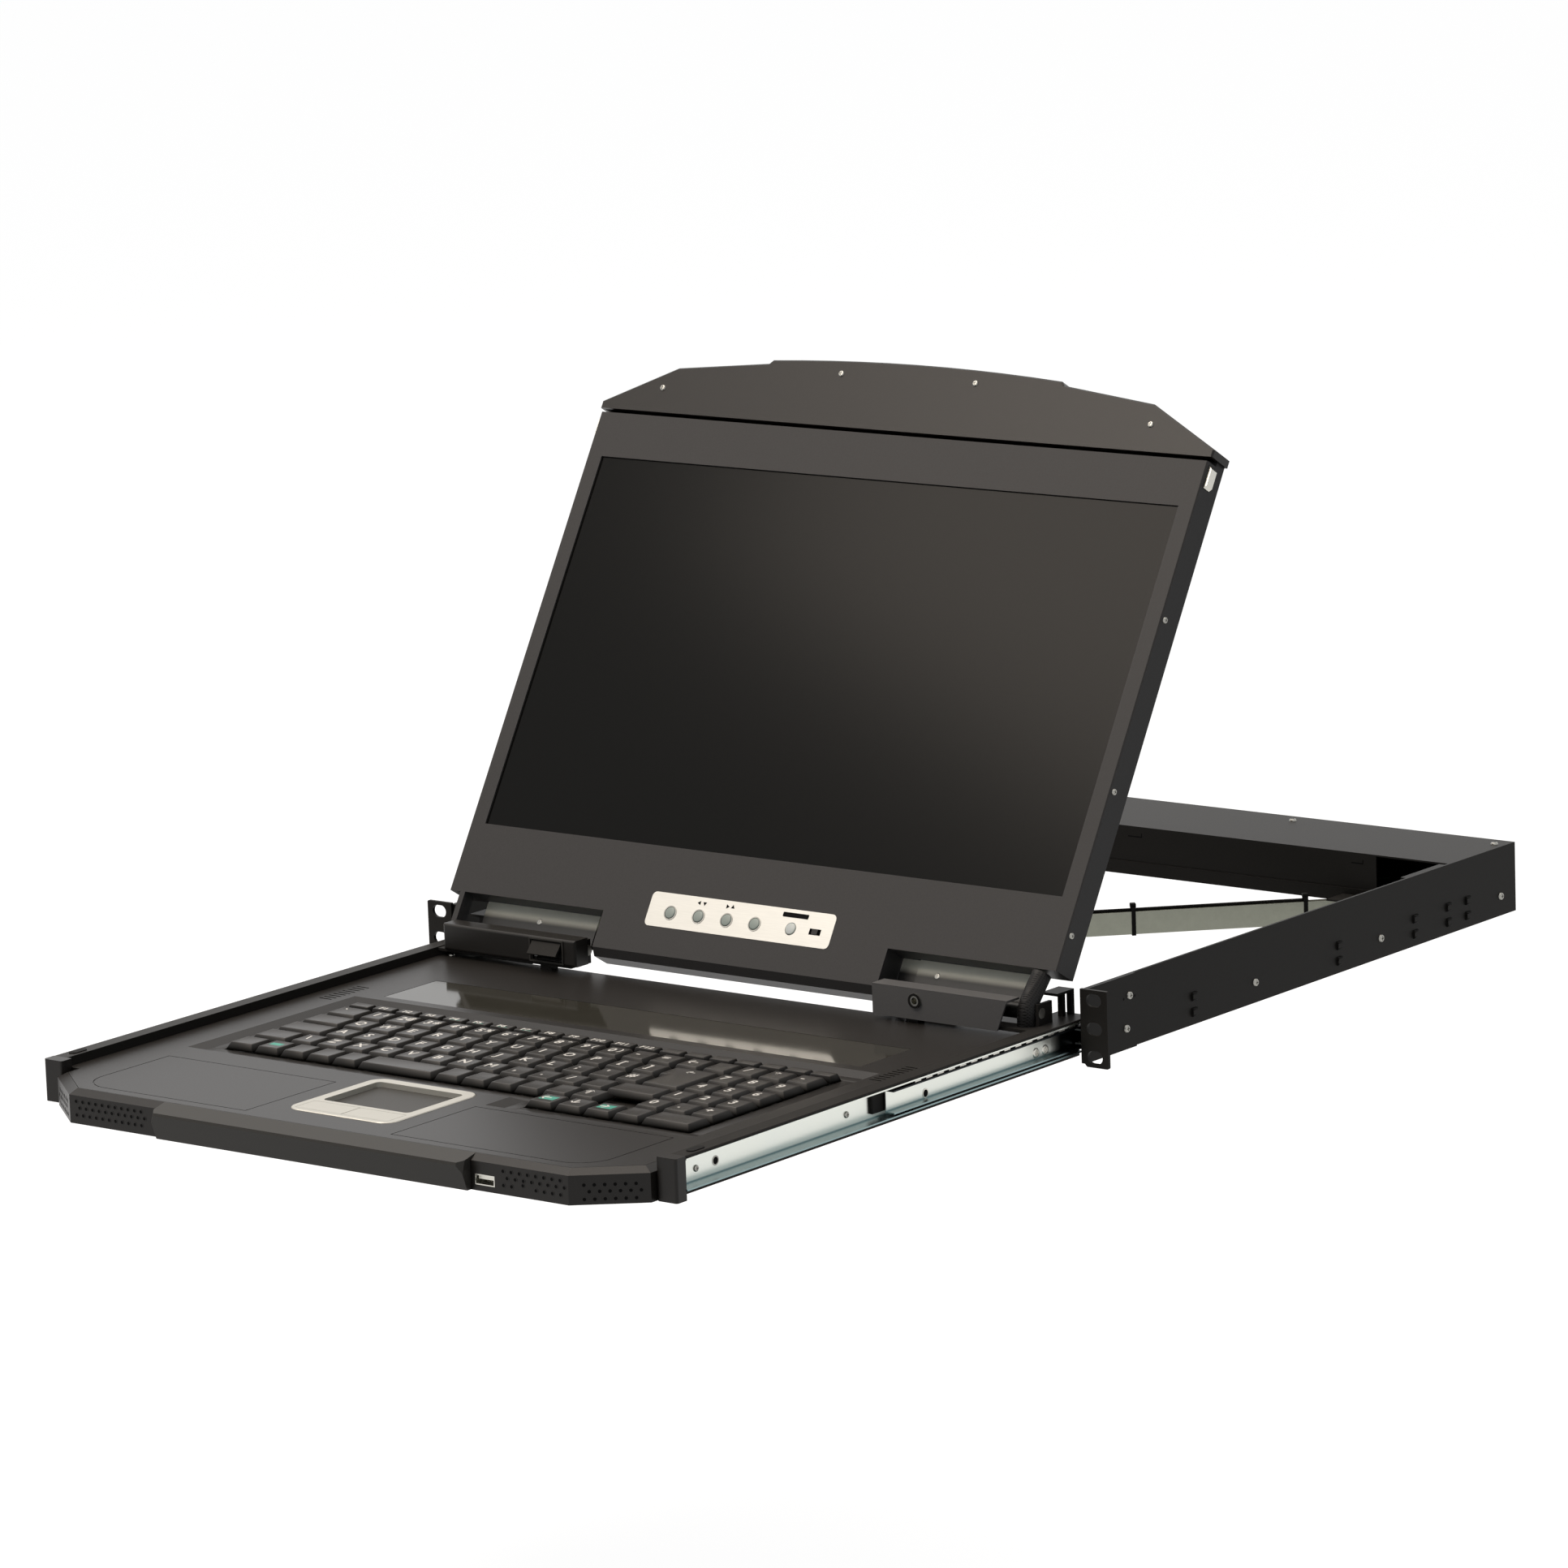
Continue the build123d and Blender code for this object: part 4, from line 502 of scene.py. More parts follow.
def legend(text, size_mm):
    """A short text as a flat mesh, centred on its own middle."""
    curve = bpy.data.curves.new("legend", "FONT")
    curve.body = text
    curve.size = size_mm * MM
    curve.align_x, curve.align_y = "CENTER", "CENTER"
    curve.resolution_u = 2
    curve.offset = LEGEND_WEIGHT * MM
    holder = bpy.data.objects.new("legend", curve)
    data = bpy.data.meshes.new_from_object(holder)
    letters = bmesh.new()
    letters.from_mesh(data)
    bpy.data.meshes.remove(data)
    bpy.data.objects.remove(holder)
    bpy.data.curves.remove(curve)
    return letters


print("faces in Q", len(legend("Q", 6).faces))

# %% [markdown]
# ## Rows of keys
# Each row fills the same width. A row is a list of key widths with a legend for each, and a negative
# width is a bare place. The function row is shallow, the other rows share one pitch, and the arrow keys
# stand in a row of their own in front, which moves with the bottom row. A list of widths says all that a
# row needs, so one function makes them all.

# %% Layout of the keys
KEYS_LEFT, KEYS_WIDTH, KEYS_REAR, FUNCTION_DEPTH, ROW_PITCH = -169.3, 342.0, -148.2, 10.5, 120.8 / 6
PAD = [1, 1, 1]
ROWS = {
    "function_keys": ([1] * 20, [""] + [f"F{n}" for n in range(1, 13)] + [""] * 7),
    "number_keys": ([1.3] + [1] * 17, list("`1234567890-=") + ["\u2190", ""] + list("/*-")),
    "upper_letter_keys": ([1.6] + [1] * 12 + [1.75] + PAD, [""] + list("QWERTYUIOP[]") + [""] + list("789")),
    "home_row_keys": ([1.85] + [1] * 12 + [1.5] + PAD, [""] + list("ASDFGHJKL;'#") + [""] + list("456")),
    "lower_letter_keys": ([1.45] + [1] * 12 + [1.9] + PAD,
                          [""] + list("\\ZXCVBNM,./") + ["", ""] + list("123")),
    "bottom_row_keys": ([1.1] + [1] * 4 + [2.9] + [1] * 6 + [-1.35] + PAD,
                        [""] * 11 + ["\u2191", ""] + list("0.+")),
    "arrow_keys": ([-12.33] + [1.05] * 4 + [1.82], ["", "\u2190", "\u2193", "\u2192", "", ""]),
}
SPACE_PLACE, ENTER_PLACE = 5, 13


def row_limits(name):
    """The front and the rear of a row."""
    row = list(ROWS).index(name)
    front = KEYS_REAR - FUNCTION_DEPTH - row * ROW_PITCH
    return front, front + (ROW_PITCH if row else FUNCTION_DEPTH)


def key_limits(name):
    """The left and the right of every key in a row."""
    widths = ROWS[name][0]
    pitch = KEYS_WIDTH / sum(abs(width) for width in widths)
    edges = [KEYS_LEFT]
    for width in widths:
        edges.append(edges[-1] + abs(width) * pitch)
    return list(zip(edges, edges[1:]))


print("keys", sum(width > 0 for widths, _ in ROWS.values() for width in widths))

# %% [markdown]
# A legend has a size, a distance from the left of its key and one from the key's middle line. A few keys
# also have a small teal patch, given by its width, its depth and its place from the key's left front
# corner.

# %% Keys and legends of a row
PRINT_HEIGHT = CAP_FOOT + CAP_HEIGHT - DISH + 0.03
PLAIN_LEGEND, SHALLOW_LEGEND, SHIFT_LEGEND = (9.0, 7.0, 1.4), (6.0, 7.4, 0.0), (6.6, 12.6, 2.6)
SHIFTED = dict(zip("1234567890", "!@#$%^&*()"))
TEAL = {("function_keys", place): (7, 1.4, 9.0, 3.1) for place in (4, 5, 6, 7)}
TEAL.update({("bottom_row_keys", 1): (8, 4.5, 8.5, 11), ("arrow_keys", 1): (10, 6.5, 9, 11),
             ("arrow_keys", 3): (10, 6.5, 9, 11)})


def print_legend(target, text, x, y, style):
    """A legend in the dish of a key between two limits each way."""
    size, inward, above = style
    stamp(target, legend(text, size), at(x[0] + inward, sum(y) / 2 + above, PRINT_HEIGHT), 1)


def fill_row(target, name):
    """All the plain keys of a row, with their legends."""
    y = row_limits(name)
    shallow = name == "function_keys"
    for place, (x, width, text) in enumerate(zip(key_limits(name), *ROWS[name])):
        enter = place == ENTER_PLACE and name in ("upper_letter_keys", "home_row_keys")
        space = place == SPACE_PLACE and name == "bottom_row_keys"
        if width < 0 or enter or space:
            continue
        stamp(target, keycap(oblong(x, y), SHALLOW_TAPER if shallow else CAP_TAPER), at(0, 0, CAP_FOOT))
        if text:
            print_legend(target, text, x, y, SHALLOW_LEGEND if shallow else PLAIN_LEGEND)
        if text in SHIFTED and name == "number_keys":
            print_legend(target, SHIFTED[text], x, y, SHIFT_LEGEND)
        if (name, place) in TEAL:
            patch_width, depth, inward, above = TEAL[name, place]
            patch = flat_sheet(patch_width, depth, 3)
            stamp(target, patch, at(x[0] + inward, y[0] + above, PRINT_HEIGHT - 0.01), 2)


def enter_key(target):
    """The tall key that reaches from the home row into the row behind it."""
    head, foot = key_limits("upper_letter_keys")[ENTER_PLACE], key_limits("home_row_keys")[ENTER_PLACE]
    low, high = row_limits("home_row_keys"), row_limits("upper_letter_keys")
    right, step = head[1] - KEY_GAP, high[0] + KEY_GAP
    front, rear = low[0] + KEY_GAP, high[1] - KEY_GAP
    plan = [(foot[0] + KEY_GAP, front), (right, front), (right, rear), (head[0] + KEY_GAP, rear),
            (head[0] + KEY_GAP, step), (foot[0] + KEY_GAP, step)]
    stamp(target, keycap(plan), at(0, 0, CAP_FOOT))
    stamp(target, legend("\u2190", 6.5), at(sum(head) / 2, high[0] + 12, PRINT_HEIGHT), 1)


for name in list(ROWS)[:6]:
    row = bmesh.new()
    fill_row(row, name)
    if name == "bottom_row_keys":
        fill_row(row, "arrow_keys")
    if name == "home_row_keys":
        enter_key(row)
    caps = piece(name.replace("_keys", "_keycaps"), row, [keycap_abs, ink, teal_ink], name,
                 40)
    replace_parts(caps, name)
space_cap = keycap(oblong(key_limits("bottom_row_keys")[SPACE_PLACE], row_limits("bottom_row_keys")))
bmesh.ops.translate(space_cap, verts=space_cap.verts, vec=(0, 0, CAP_FOOT * MM))
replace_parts(piece("space_keycap", space_cap, [keycap_abs], "space_bar", 40), "space_bar")
print("key rows", len(ROWS))

# %% [markdown]
# The recess round the keys ends in a ledge that stands close to the feet of the caps, so only a narrow
# dark gap is seen under them. Six flat bars with soft edges make the ledge, with a step for the arrow
# keys.

# %% Recess ledge
LEDGE, LEDGE_LOW, LEDGE_HIGH, LEDGE_EDGE = 8.0, -7.0, -4.6, 0.3
keys_right = KEYS_LEFT + KEYS_WIDTH
arrows_left = key_limits("arrow_keys")[1][0]
front, arrow_front = row_limits("bottom_row_keys")[0], row_limits("arrow_keys")[0]
ledge = bmesh.new()
for x, y in (((KEYS_LEFT - LEDGE, arrows_left), (front - LEDGE, front)),
             ((arrows_left - LEDGE, arrows_left), (arrow_front - LEDGE, front - LEDGE)),
             ((arrows_left, keys_right + LEDGE), (arrow_front - LEDGE, arrow_front)),
             ((KEYS_LEFT - LEDGE, KEYS_LEFT), (front, KEYS_REAR)),
             ((keys_right, keys_right + LEDGE), (arrow_front, KEYS_REAR)),
             ((KEYS_LEFT - LEDGE, keys_right + LEDGE), (KEYS_REAR, KEYS_REAR + LEDGE))):
    bar = soft_block(x[1] - x[0], y[1] - y[0], LEDGE_HIGH - LEDGE_LOW, LEDGE_EDGE)
    stamp(ledge, bar, at(sum(x) / 2, sum(y) / 2, (LEDGE_LOW + LEDGE_HIGH) / 2))
piece("recess_ledge", ledge, [abs_black], "drawer", 35)
print("ledge", round(LEDGE_HIGH - LEDGE_LOW, 1), "mm high")

# %% [markdown]
# ## Screws
# Cross-recess pan heads hold the side plates, the ears, the box cover and the lid. A short cone gives the
# head, a bevel rounds its rim, and four pairs of cuts in its top mark out a cross that is pushed down
# into a recess. That keeps the head one closed shell, which a boolean cut would not promise.

# %% Screw shape
HEAD_TAPER, HEAD_ROUND, CROSS_ARM, CROSS_REACH, CROSS_DEPTH = 0.86, 0.4, 0.14, 0.55, 0.55


def cross_screw(radius_mm, height_mm):
    """A pan head along +Z, standing at z = 0."""
    radius, height = radius_mm * MM, height_mm * MM
    screw = bmesh.new()
    bmesh.ops.create_cone(screw, cap_ends=True, segments=20, radius1=radius, radius2=radius * HEAD_TAPER,
                          depth=height)
    bmesh.ops.translate(screw, verts=screw.verts, vec=(0, 0, height / 2))
    rim = [edge for edge in screw.edges if min(v.co.z for v in edge.verts) > height * 0.9]
    soften(screw, rim, height_mm * HEAD_ROUND)
    arm, reach = radius * CROSS_ARM, radius * CROSS_REACH
    for cut in (-reach, -arm, arm, reach):
        for normal in (Vector((1, 0, 0)), Vector((0, 1, 0))):
            screw.normal_update()
            top = [face for face in screw.faces if face.normal.z > 0.99]
            rims = {edge for face in top for edge in face.edges}
            ends = {vertex for face in top for vertex in face.verts}
            bmesh.ops.bisect_plane(screw, geom=top + list(rims) + list(ends), plane_co=normal * cut,
                                   plane_no=normal, dist=1e-7)
    screw.normal_update()
    cross = []
    for face in screw.faces:
        x, y, _ = (abs(v) for v in face.calc_center_median())
        if face.normal.z > 0.99 and min(x, y) < arm and max(x, y) < reach:
            cross.append(face)
    sunk = bmesh.ops.extrude_face_region(screw, geom=cross)["geom"]
    pit = [item for item in sunk if isinstance(item, bmesh.types.BMVert)]
    bmesh.ops.translate(screw, verts=pit, vec=(0, 0, -height * CROSS_DEPTH))
    bmesh.ops.delete(screw, geom=[face for face in cross if face.is_valid], context="FACES_ONLY")
    bmesh.ops.recalc_face_normals(screw, faces=screw.faces)
    return screw


large_screw, small_screw = cross_screw(2.3, 1.1), cross_screw(1.9, 0.9)
print("faces in a screw", len(large_screw.faces))

# %% [markdown]
# Three screws hold each side plate along its lower edge, two more hold the flange of each ear, and four
# hold the cover of the rear box. They stand for the plain screws of the frame.

# %% Chassis screws
PLATE_FACE, FLANGE_FACE, PLATE_TOP = 223.5, 225.0, 20.6
PLATE_SCREWS, PLATE_SCREW_Z = (166.0, 293.9, 421.8), -9
FLANGE_SCREWS = ((38.7, -9), (42.2, 9))
COVER_SCREWS, COVER_SCREW_Y = (74.0, 216.4), 426.8
heads = bmesh.new()
for side in (1, -1):
    for y in PLATE_SCREWS:
        stamp(heads, large_screw, sideways(side, PLATE_FACE, y, PLATE_SCREW_Z))
    for y, z in FLANGE_SCREWS:
        stamp(heads, large_screw, sideways(side, FLANGE_FACE, y, z))
    for x in COVER_SCREWS:
        stamp(heads, large_screw, at(side * x, COVER_SCREW_Y, PLATE_TOP))
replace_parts(piece("chassis_screw_heads", heads, [screw_steel], "chassis", 35), "chassis_screws")
print("chassis screws", 2 * len(PLATE_SCREWS + FLANGE_SCREWS + COVER_SCREWS))

# %% [markdown]
# Hooks of the inner slide bracket hang in pairs of windows in each side plate and stand a little proud of
# it. Each is a short block whose outer edges are rounded, black like the plate.

# %% Hook tabs
HOOK_PAIRS, HOOK_HEIGHTS = (105.6, 250.5, 329.8, 365.3, 385.9), (-13.5, -4.5)
hook = block(2.7, 4.8, 4.8)
soften(hook, [edge for edge in hook.edges if all(v.co.x > 0 for v in edge.verts)], 0.7)
hooks = bmesh.new()
for y in HOOK_PAIRS:
    for z in HOOK_HEIGHTS:
        stamp(hooks, hook, at(PLATE_FACE, y, z))
        stamp(hooks, hook, facing(-PLATE_FACE, y, z, "Z", 180))
piece("hook_tabs", hooks, [rubber], "chassis", 35)
print("hook tabs", 2 * len(HOOK_PAIRS) * len(HOOK_HEIGHTS))

# %% [markdown]
# The front wall of the rear box has two L-shaped slits under its cover, and two punched holes stand
# beside the upper screw of each ear. Both show only as dark marks, so thin dark insets with soft corners
# are enough.

# %% Slits and holes
BOX_FRONT, SLIT_FOOT, SLIT_WIDTH, SLIT_RISE = 368.0, 14, 0.7, 2.6
HOLES, HOLE_Z = (36.6, 47.0), 7.9
marks = bmesh.new()
punched = disc(0.8, 14)
for side in (1, -1):
    for y in HOLES:
        stamp(marks, punched, sideways(side, FLANGE_FACE + 0.03, y, HOLE_Z))
for x, length in ((-0.4, 9.9), (158.8, 8.1)):
    for centre, width, height in ((x, length, SLIT_WIDTH), (x + length / 2, SLIT_WIDTH, SLIT_RISE)):
        slit = flat_sheet(width, height)
        soften(slit, slit.verts[:], 0.2, affect="VERTICES")
        stamp(marks, slit, facing(centre, BOX_FRONT - 0.05, SLIT_FOOT + height / 2, "X", 90))
piece("slits_and_holes", marks, [shadow_hole], "chassis")
print("slits", 2, "holes", 2 * len(HOLES))

# %% [markdown]
# ## Lid details
# The lid has its own frame: up the screen and out of it, from the hinge line. Screws hold the upper
# handle and the lid's sides. Working in the lid's frame keeps every place a plain distance on its face.

# %% Lid frame and screws
LEAN = math.radians(31.06)
out_of_screen = Vector((0, -math.cos(LEAN), math.sin(LEAN)))
up_screen = out_of_screen.cross(Vector((1, 0, 0)))
lid_axes = Matrix((Vector((1, 0, 0)), up_screen, out_of_screen)).transposed().to_4x4()
lid_frame = at(0, -18.4, 9.6) @ lid_axes
LID_FACE, LID_HALF, LID_MIDDLE = 6.0, 215.5, 2.2
HANDLE_SCREWS = ((-175.7, 340.7), (-50.8, 357.8), (44.5, 358.0), (170.9, 341.6))
LID_SIDE_SCREWS = (229.6, 128.5, 44.6)
lid_heads = bmesh.new()
for x, rise in HANDLE_SCREWS:
    stamp(lid_heads, small_screw, lid_frame @ at(x, rise, LID_FACE))
for side in (1, -1):
    for rise in LID_SIDE_SCREWS:
        stamp(lid_heads, small_screw, lid_frame @ sideways(side, LID_HALF, rise, LID_MIDDLE))
piece("lid_screw_heads", lid_heads, [screw_steel], "lid", 35)
print("lid screws", len(HANDLE_SCREWS) + 2 * len(LID_SIDE_SCREWS))

# %% [markdown]
# A brushed foil label frames the buttons under the screen. It is a rounded outline with round holes and
# one oblong hole, filled between its edges and given a small thickness.

# %% Control label
BUTTONS, POWER, SWITCH, BUTTON_RISE = (-53.7, -33.5, -13.5, 6.5), 32.0, 49.1, 26.6
LABEL_WIDTH, LABEL_HEIGHT, LABEL_X, LABEL_RISE, LABEL_CORNER = 130.7, 20.4, -4.35, 27.9, 3
label = flat_sheet(LABEL_WIDTH, LABEL_HEIGHT)
bmesh.ops.translate(label, verts=label.verts, vec=(LABEL_X * MM, LABEL_RISE * MM, 0))
soften(label, label.verts[:], LABEL_CORNER, 5, "VERTICES")
bmesh.ops.delete(label, geom=label.faces[:], context="FACES_ONLY")
for x in (*BUTTONS, POWER):
    bmesh.ops.create_circle(label, cap_ends=False, segments=28, radius=3.75 * MM,
                            matrix=at(x, BUTTON_RISE, 0))
opening = bmesh.ops.create_grid(label, x_segments=1, y_segments=1, size=0.5,
                                matrix=at(SWITCH, BUTTON_RISE, 0))["verts"]
bmesh.ops.scale(label, vec=(8 * MM, 3.6 * MM, 1), verts=opening, space=at(-SWITCH, -BUTTON_RISE, 0))
bmesh.ops.delete(label, geom=list({face for v in opening for face in v.link_faces}), context="FACES_ONLY")
bmesh.ops.triangle_fill(label, use_beauty=True, edges=label.edges[:])
bmesh.ops.recalc_face_normals(label, faces=label.faces)
bmesh.ops.solidify(label, geom=label.faces[:], thickness=0.15 * MM)
bmesh.ops.transform(label, matrix=lid_frame @ at(0, 0, LID_FACE + 0.16), verts=label.verts)
piece("control_label", label, [foil], "lid")
print("label", LABEL_WIDTH, "x", LABEL_HEIGHT, "mm")

# %% [markdown]
# Each menu button sits in a thin bright collar. A small square section spun once round the button makes
# it. Small arrows stand over the two middle buttons, and a plain dark bar over the power button.

# %% Button collars
def collar(inner_mm, outer_mm, height_mm, steps=28):
    """A flat ring about +Z, standing at z = 0."""
    ring = flat_sheet(outer_mm - inner_mm, height_mm)
    bmesh.ops.rotate(ring, cent=(0, 0, 0), matrix=Matrix.Rotation(math.pi / 2, 3, "X"), verts=ring.verts)
    bmesh.ops.translate(ring, vec=((inner_mm + outer_mm) / 2 * MM, 0, height_mm / 2 * MM), verts=ring.verts)
    bmesh.ops.delete(ring, geom=ring.faces[:], context="FACES_ONLY")
    bmesh.ops.spin(ring, geom=ring.verts[:] + ring.edges[:], cent=(0, 0, 0), axis=(0, 0, 1), angle=math.tau,
                   steps=steps, use_merge=True)
    bmesh.ops.remove_doubles(ring, verts=ring.verts, dist=1e-6)
    bmesh.ops.recalc_face_normals(ring, faces=ring.faces)
    return ring


MARK_RISE, MARK_FACE, ARROW_STEP = BUTTON_RISE + 8, LID_FACE + 0.2, 1.9
button_collar, arrow = collar(3.65, 4.3, 0.3), disc(1.5, 3)
collars = bmesh.new()
for x in BUTTONS:
    stamp(collars, button_collar, lid_frame @ at(x, BUTTON_RISE, LID_FACE + 0.1))
for x, turns in ((BUTTONS[1], (90, 180)), (BUTTONS[2], (-90, 0))):
    for step, turn_degrees in zip((-ARROW_STEP, ARROW_STEP), turns):
        stamp(collars, arrow, lid_frame @ facing(x + step, MARK_RISE, MARK_FACE, "Z", turn_degrees), 1)
bar = flat_sheet(18, 2.8)
soften(bar, bar.verts[:], 0.5, affect="VERTICES")
stamp(collars, bar, lid_frame @ at(POWER + 1, MARK_RISE, MARK_FACE), 1)
piece("button_collars", collars, [screw_steel, shadow_hole], "lid", 35)
print("collars", len(BUTTONS))

# %% [markdown]
# The caps are shallow domes in the collars. A short cone with a bevelled rim makes one, and each rides on
# its own body so that it presses in. The power cap is white.

# %% Button caps
BUTTON_RADIUS, BUTTON_TAPER, BUTTON_DEPTH, BUTTON_ROUND = 3.6, 0.96, 2.4, 0.7


def button_cap():
    """A low dome about +Z."""
    cap = bmesh.new()
    bmesh.ops.create_cone(cap, cap_ends=True, segments=32, radius1=BUTTON_RADIUS * MM,
                          radius2=BUTTON_RADIUS * BUTTON_TAPER * MM, depth=BUTTON_DEPTH * MM)
    soften(cap, [edge for edge in cap.edges if min(v.co.z for v in edge.verts) > 0], BUTTON_ROUND, 3)
    return cap


for number, x in enumerate((*BUTTONS, POWER), 1):
    power = x == POWER
    cap = button_cap()
    bmesh.ops.transform(cap, matrix=lid_frame @ at(x, BUTTON_RISE, LID_FACE - 0.5), verts=cap.verts)
    node = "panel_power_button" if power else f"menu_button_{number}"
    made = piece(node.replace("button", "cap"), cap, [cap_white if power else cap_grey], node,
                 35)
    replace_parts(made, node)
print("button caps", number)

# %% [markdown]
# ## Bezel grip
# The front of the drawer and its angled corners carry three staggered rows of small dimples for the
# fingers, and a pinhole beside the socket. Each dimple is a dark cup mouth inside a thin rounded lip,
# which shows as well as a real cup at this size and leaves the bezel's own solid whole.

# %% Dimples
lip, cup = collar(0.95, 1.4, 0.12, 12), disc(1, 12)
dimples = bmesh.new()
BEZEL_FRONT, FACET_HALF, FACET_BACK, FACET_WIDTH = -379.0, 173.0, 26, 33
FRONT_ROWS, FACET_ROWS = (-8.0, -11.5, -15.5), (-10.0, -13.5, -17.5)
# The first place in a row, the pitch, the stagger of the middle row and the count.
LEFT_GRIP, RIGHT_GRIP, FACET_GRIP = (-168, 4.7, 2.3, 11), (130, 5.4, 2.6, 8), (8, 5.3, 2.6, 6)
PINHOLE_X, PINHOLE_Z = 143, -14


def dimple(matrix):
    """A dark cup mouth in its lip."""
    stamp(dimples, lip, matrix)
    stamp(dimples, cup, matrix @ at(0, 0, 0.04), 1)


def grip_places(grip, row):
    """The places along one of the staggered rows."""
    first, pitch, stagger, count = grip
    return [first + column * pitch + (row % 2) * stagger for column in range(count)]


for row, z in enumerate(FRONT_ROWS):
    beside_socket = grip_places(RIGHT_GRIP, row)
    if z == FRONT_ROWS[-1]:
        # The lowest row leaves two places free for the pinhole.
        beside_socket = beside_socket[:2] + beside_socket[4:]
    for x in grip_places(LEFT_GRIP, row) + beside_socket:
        dimple(facing(x, BEZEL_FRONT, z, "X", 90))
facet = math.atan2(FACET_BACK, FACET_WIDTH)
for side in (1, -1):
    for row, z in enumerate(FACET_ROWS):
        for along in grip_places(FACET_GRIP, row):
            x, y = FACET_HALF + along * math.cos(facet), BEZEL_FRONT + along * math.sin(facet)
            turned = at(side * x, y, z) @ Matrix.Rotation(side * facet, 4, "Z")
            dimple(turned @ Matrix.Rotation(math.pi / 2, 4, "X"))
dimple(facing(PINHOLE_X, BEZEL_FRONT, PINHOLE_Z, "X", 90))
piece("bezel_dimples", dimples, [abs_black, shadow_hole], "drawer")
print("dimples set on", BEZEL_FRONT, "mm, facets turned", round(math.degrees(facet), 1), "degrees")

# %% [markdown]
# ## Slide fittings
# Countersunk screws hold each drawer rail to the tray, a moulded lock lever on it stands just ahead of
# the middle rail when the slide is out, and the rail webs have punched holes and broad rivets. They are
# small, but they break the long bright strip as on the real slide. The lever is thin enough to pass
# behind the middle rail.

# %% Slide fittings
DRAWER_WEB, MIDDLE_WEB = 211.8, 214.8
RAIL_SCREWS, RIVETS, RIVET_Z = ((-323.6, -8.2), (-197.0, -7.7)), (-32.0, -23.5), -9
LEVER_Y, LEVER_Z = -171, -7.1
lever = block(1.7, 13, 9.4)
soften(lever, [edge for edge in lever.edges if all(v.co.y < 0 for v in edge.verts)], 0.8, 3)
grip = [face for face in lever.faces if abs(face.normal.x) > 0.9]
bmesh.ops.inset_individual(lever, faces=grip, thickness=1.6 * MM, depth=-0.5 * MM)
hole, hole_lip, rivet = disc(2.2, 18), collar(2.0, 2.7, 0.15, 18), cross_screw(2.9, 0.6)
fittings, middle_fittings = bmesh.new(), bmesh.new()
WEB_HOLES = ((fittings, DRAWER_WEB, -307.4, -7.7), (middle_fittings, MIDDLE_WEB, -131.8, -9.8))
for side in (1, -1):
    for y, z in RAIL_SCREWS:
        stamp(fittings, small_screw, sideways(side, DRAWER_WEB, y, z))
    for target, web, y, z in WEB_HOLES:
        stamp(target, hole, sideways(side, web + 0.05, y, z), 1)
        stamp(target, hole_lip, sideways(side, web, y, z))
    for y in RIVETS:
        stamp(middle_fittings, rivet, sideways(side, MIDDLE_WEB, y, RIVET_Z))
    stamp(fittings, lever, at(side * (DRAWER_WEB + 0.9), LEVER_Y, LEVER_Z), 2)
piece("drawer_rail_fittings", fittings, [screw_steel, shadow_hole, rubber], "drawer", 35)
piece("middle_rail_fittings", middle_fittings, [nickel, shadow_hole], "middle_rails", 35)
print("slide fittings on both sides")

# %% [markdown]
# The ball cage is a dark strip with a row of windows, and each window shows a bright steel ball and the
# rail behind it. Seen along the slide the upper ones read as a row of short dashes, so each is a short
# bright bar with round ends on the strip.

# %% Cage windows
CAGE_FACE, CAGE_MIDDLE, CAGE_LENGTH, CAGE_TOP, CAGE_BOTTOM = 219.1, -74, 150, 0.15, -14.35
WINDOWS, WINDOW_PITCH, FIRST_WINDOW = 15, 10, -144
window = block(0.3, 5.5, 0.7)
soften(window, edges_along(window, 0), 0.3, 3)
strip = soft_block(0.6, CAGE_LENGTH, 1.1, 0.15)
cage_windows = bmesh.new()
for side in (1, -1):
    for z in (CAGE_TOP, CAGE_BOTTOM):
        stamp(cage_windows, strip, at(side * CAGE_FACE, CAGE_MIDDLE, z), 1)
    for step in range(WINDOWS):
        y = FIRST_WINDOW + step * WINDOW_PITCH
        stamp(cage_windows, window, at(side * (CAGE_FACE + 0.25), y, CAGE_TOP))
piece("cage_windows", cage_windows, [nickel, rubber], "front_ball_cages", 35)
print("cage windows", 2 * WINDOWS)

# %% [markdown]
# ## Hinge line
# Flat screws fix the hinge leaves to the lid, and a thin backing sheet lies behind each leaf. Foot plates
# close the deck under the covers, on two levels at the right, where the cable arm passes below.

# %% Hinge screws, backing and foot plates
LEAF_SCREWS, LEAF_RISE, LEAF_FACE = (128, -156), 15, -8.8
BACKING_X, BACKING_RISE, BACKING_FACE = 149.8, 13.2, -10.35
FOOT_PLATES = ((180.5, 57.0, -2.5), (128.5, 47.0, -0.45), (-179.0, 60.0, -2.5))
FOOT_Y, FOOT_DEPTH, FOOT_THICKNESS = -6, 30, 0.8
FOOT_SCREWS, FOOT_SCREW_Y, FOOT_SCREW_Z = (203, -203), -27, -2
leaf_heads, flat_screw = bmesh.new(), cross_screw(1.9, 0.35)
for x in LEAF_SCREWS:
    stamp(leaf_heads, flat_screw, lid_frame @ at(x, LEAF_RISE, LEAF_FACE))
piece("hinge_leaf_screws", leaf_heads, [screw_steel], "lid", 35)

backing, backing_sheet = bmesh.new(), block(97, 20, 0.5)
soften(backing_sheet, edges_along(backing_sheet, 2), 0.6, 3)
for side in (1, -1):
    stamp(backing, backing_sheet, lid_frame @ at(side * BACKING_X, BACKING_RISE, BACKING_FACE))
piece("hinge_backing_sheets", backing, [leaf_zinc], "lid", 35)

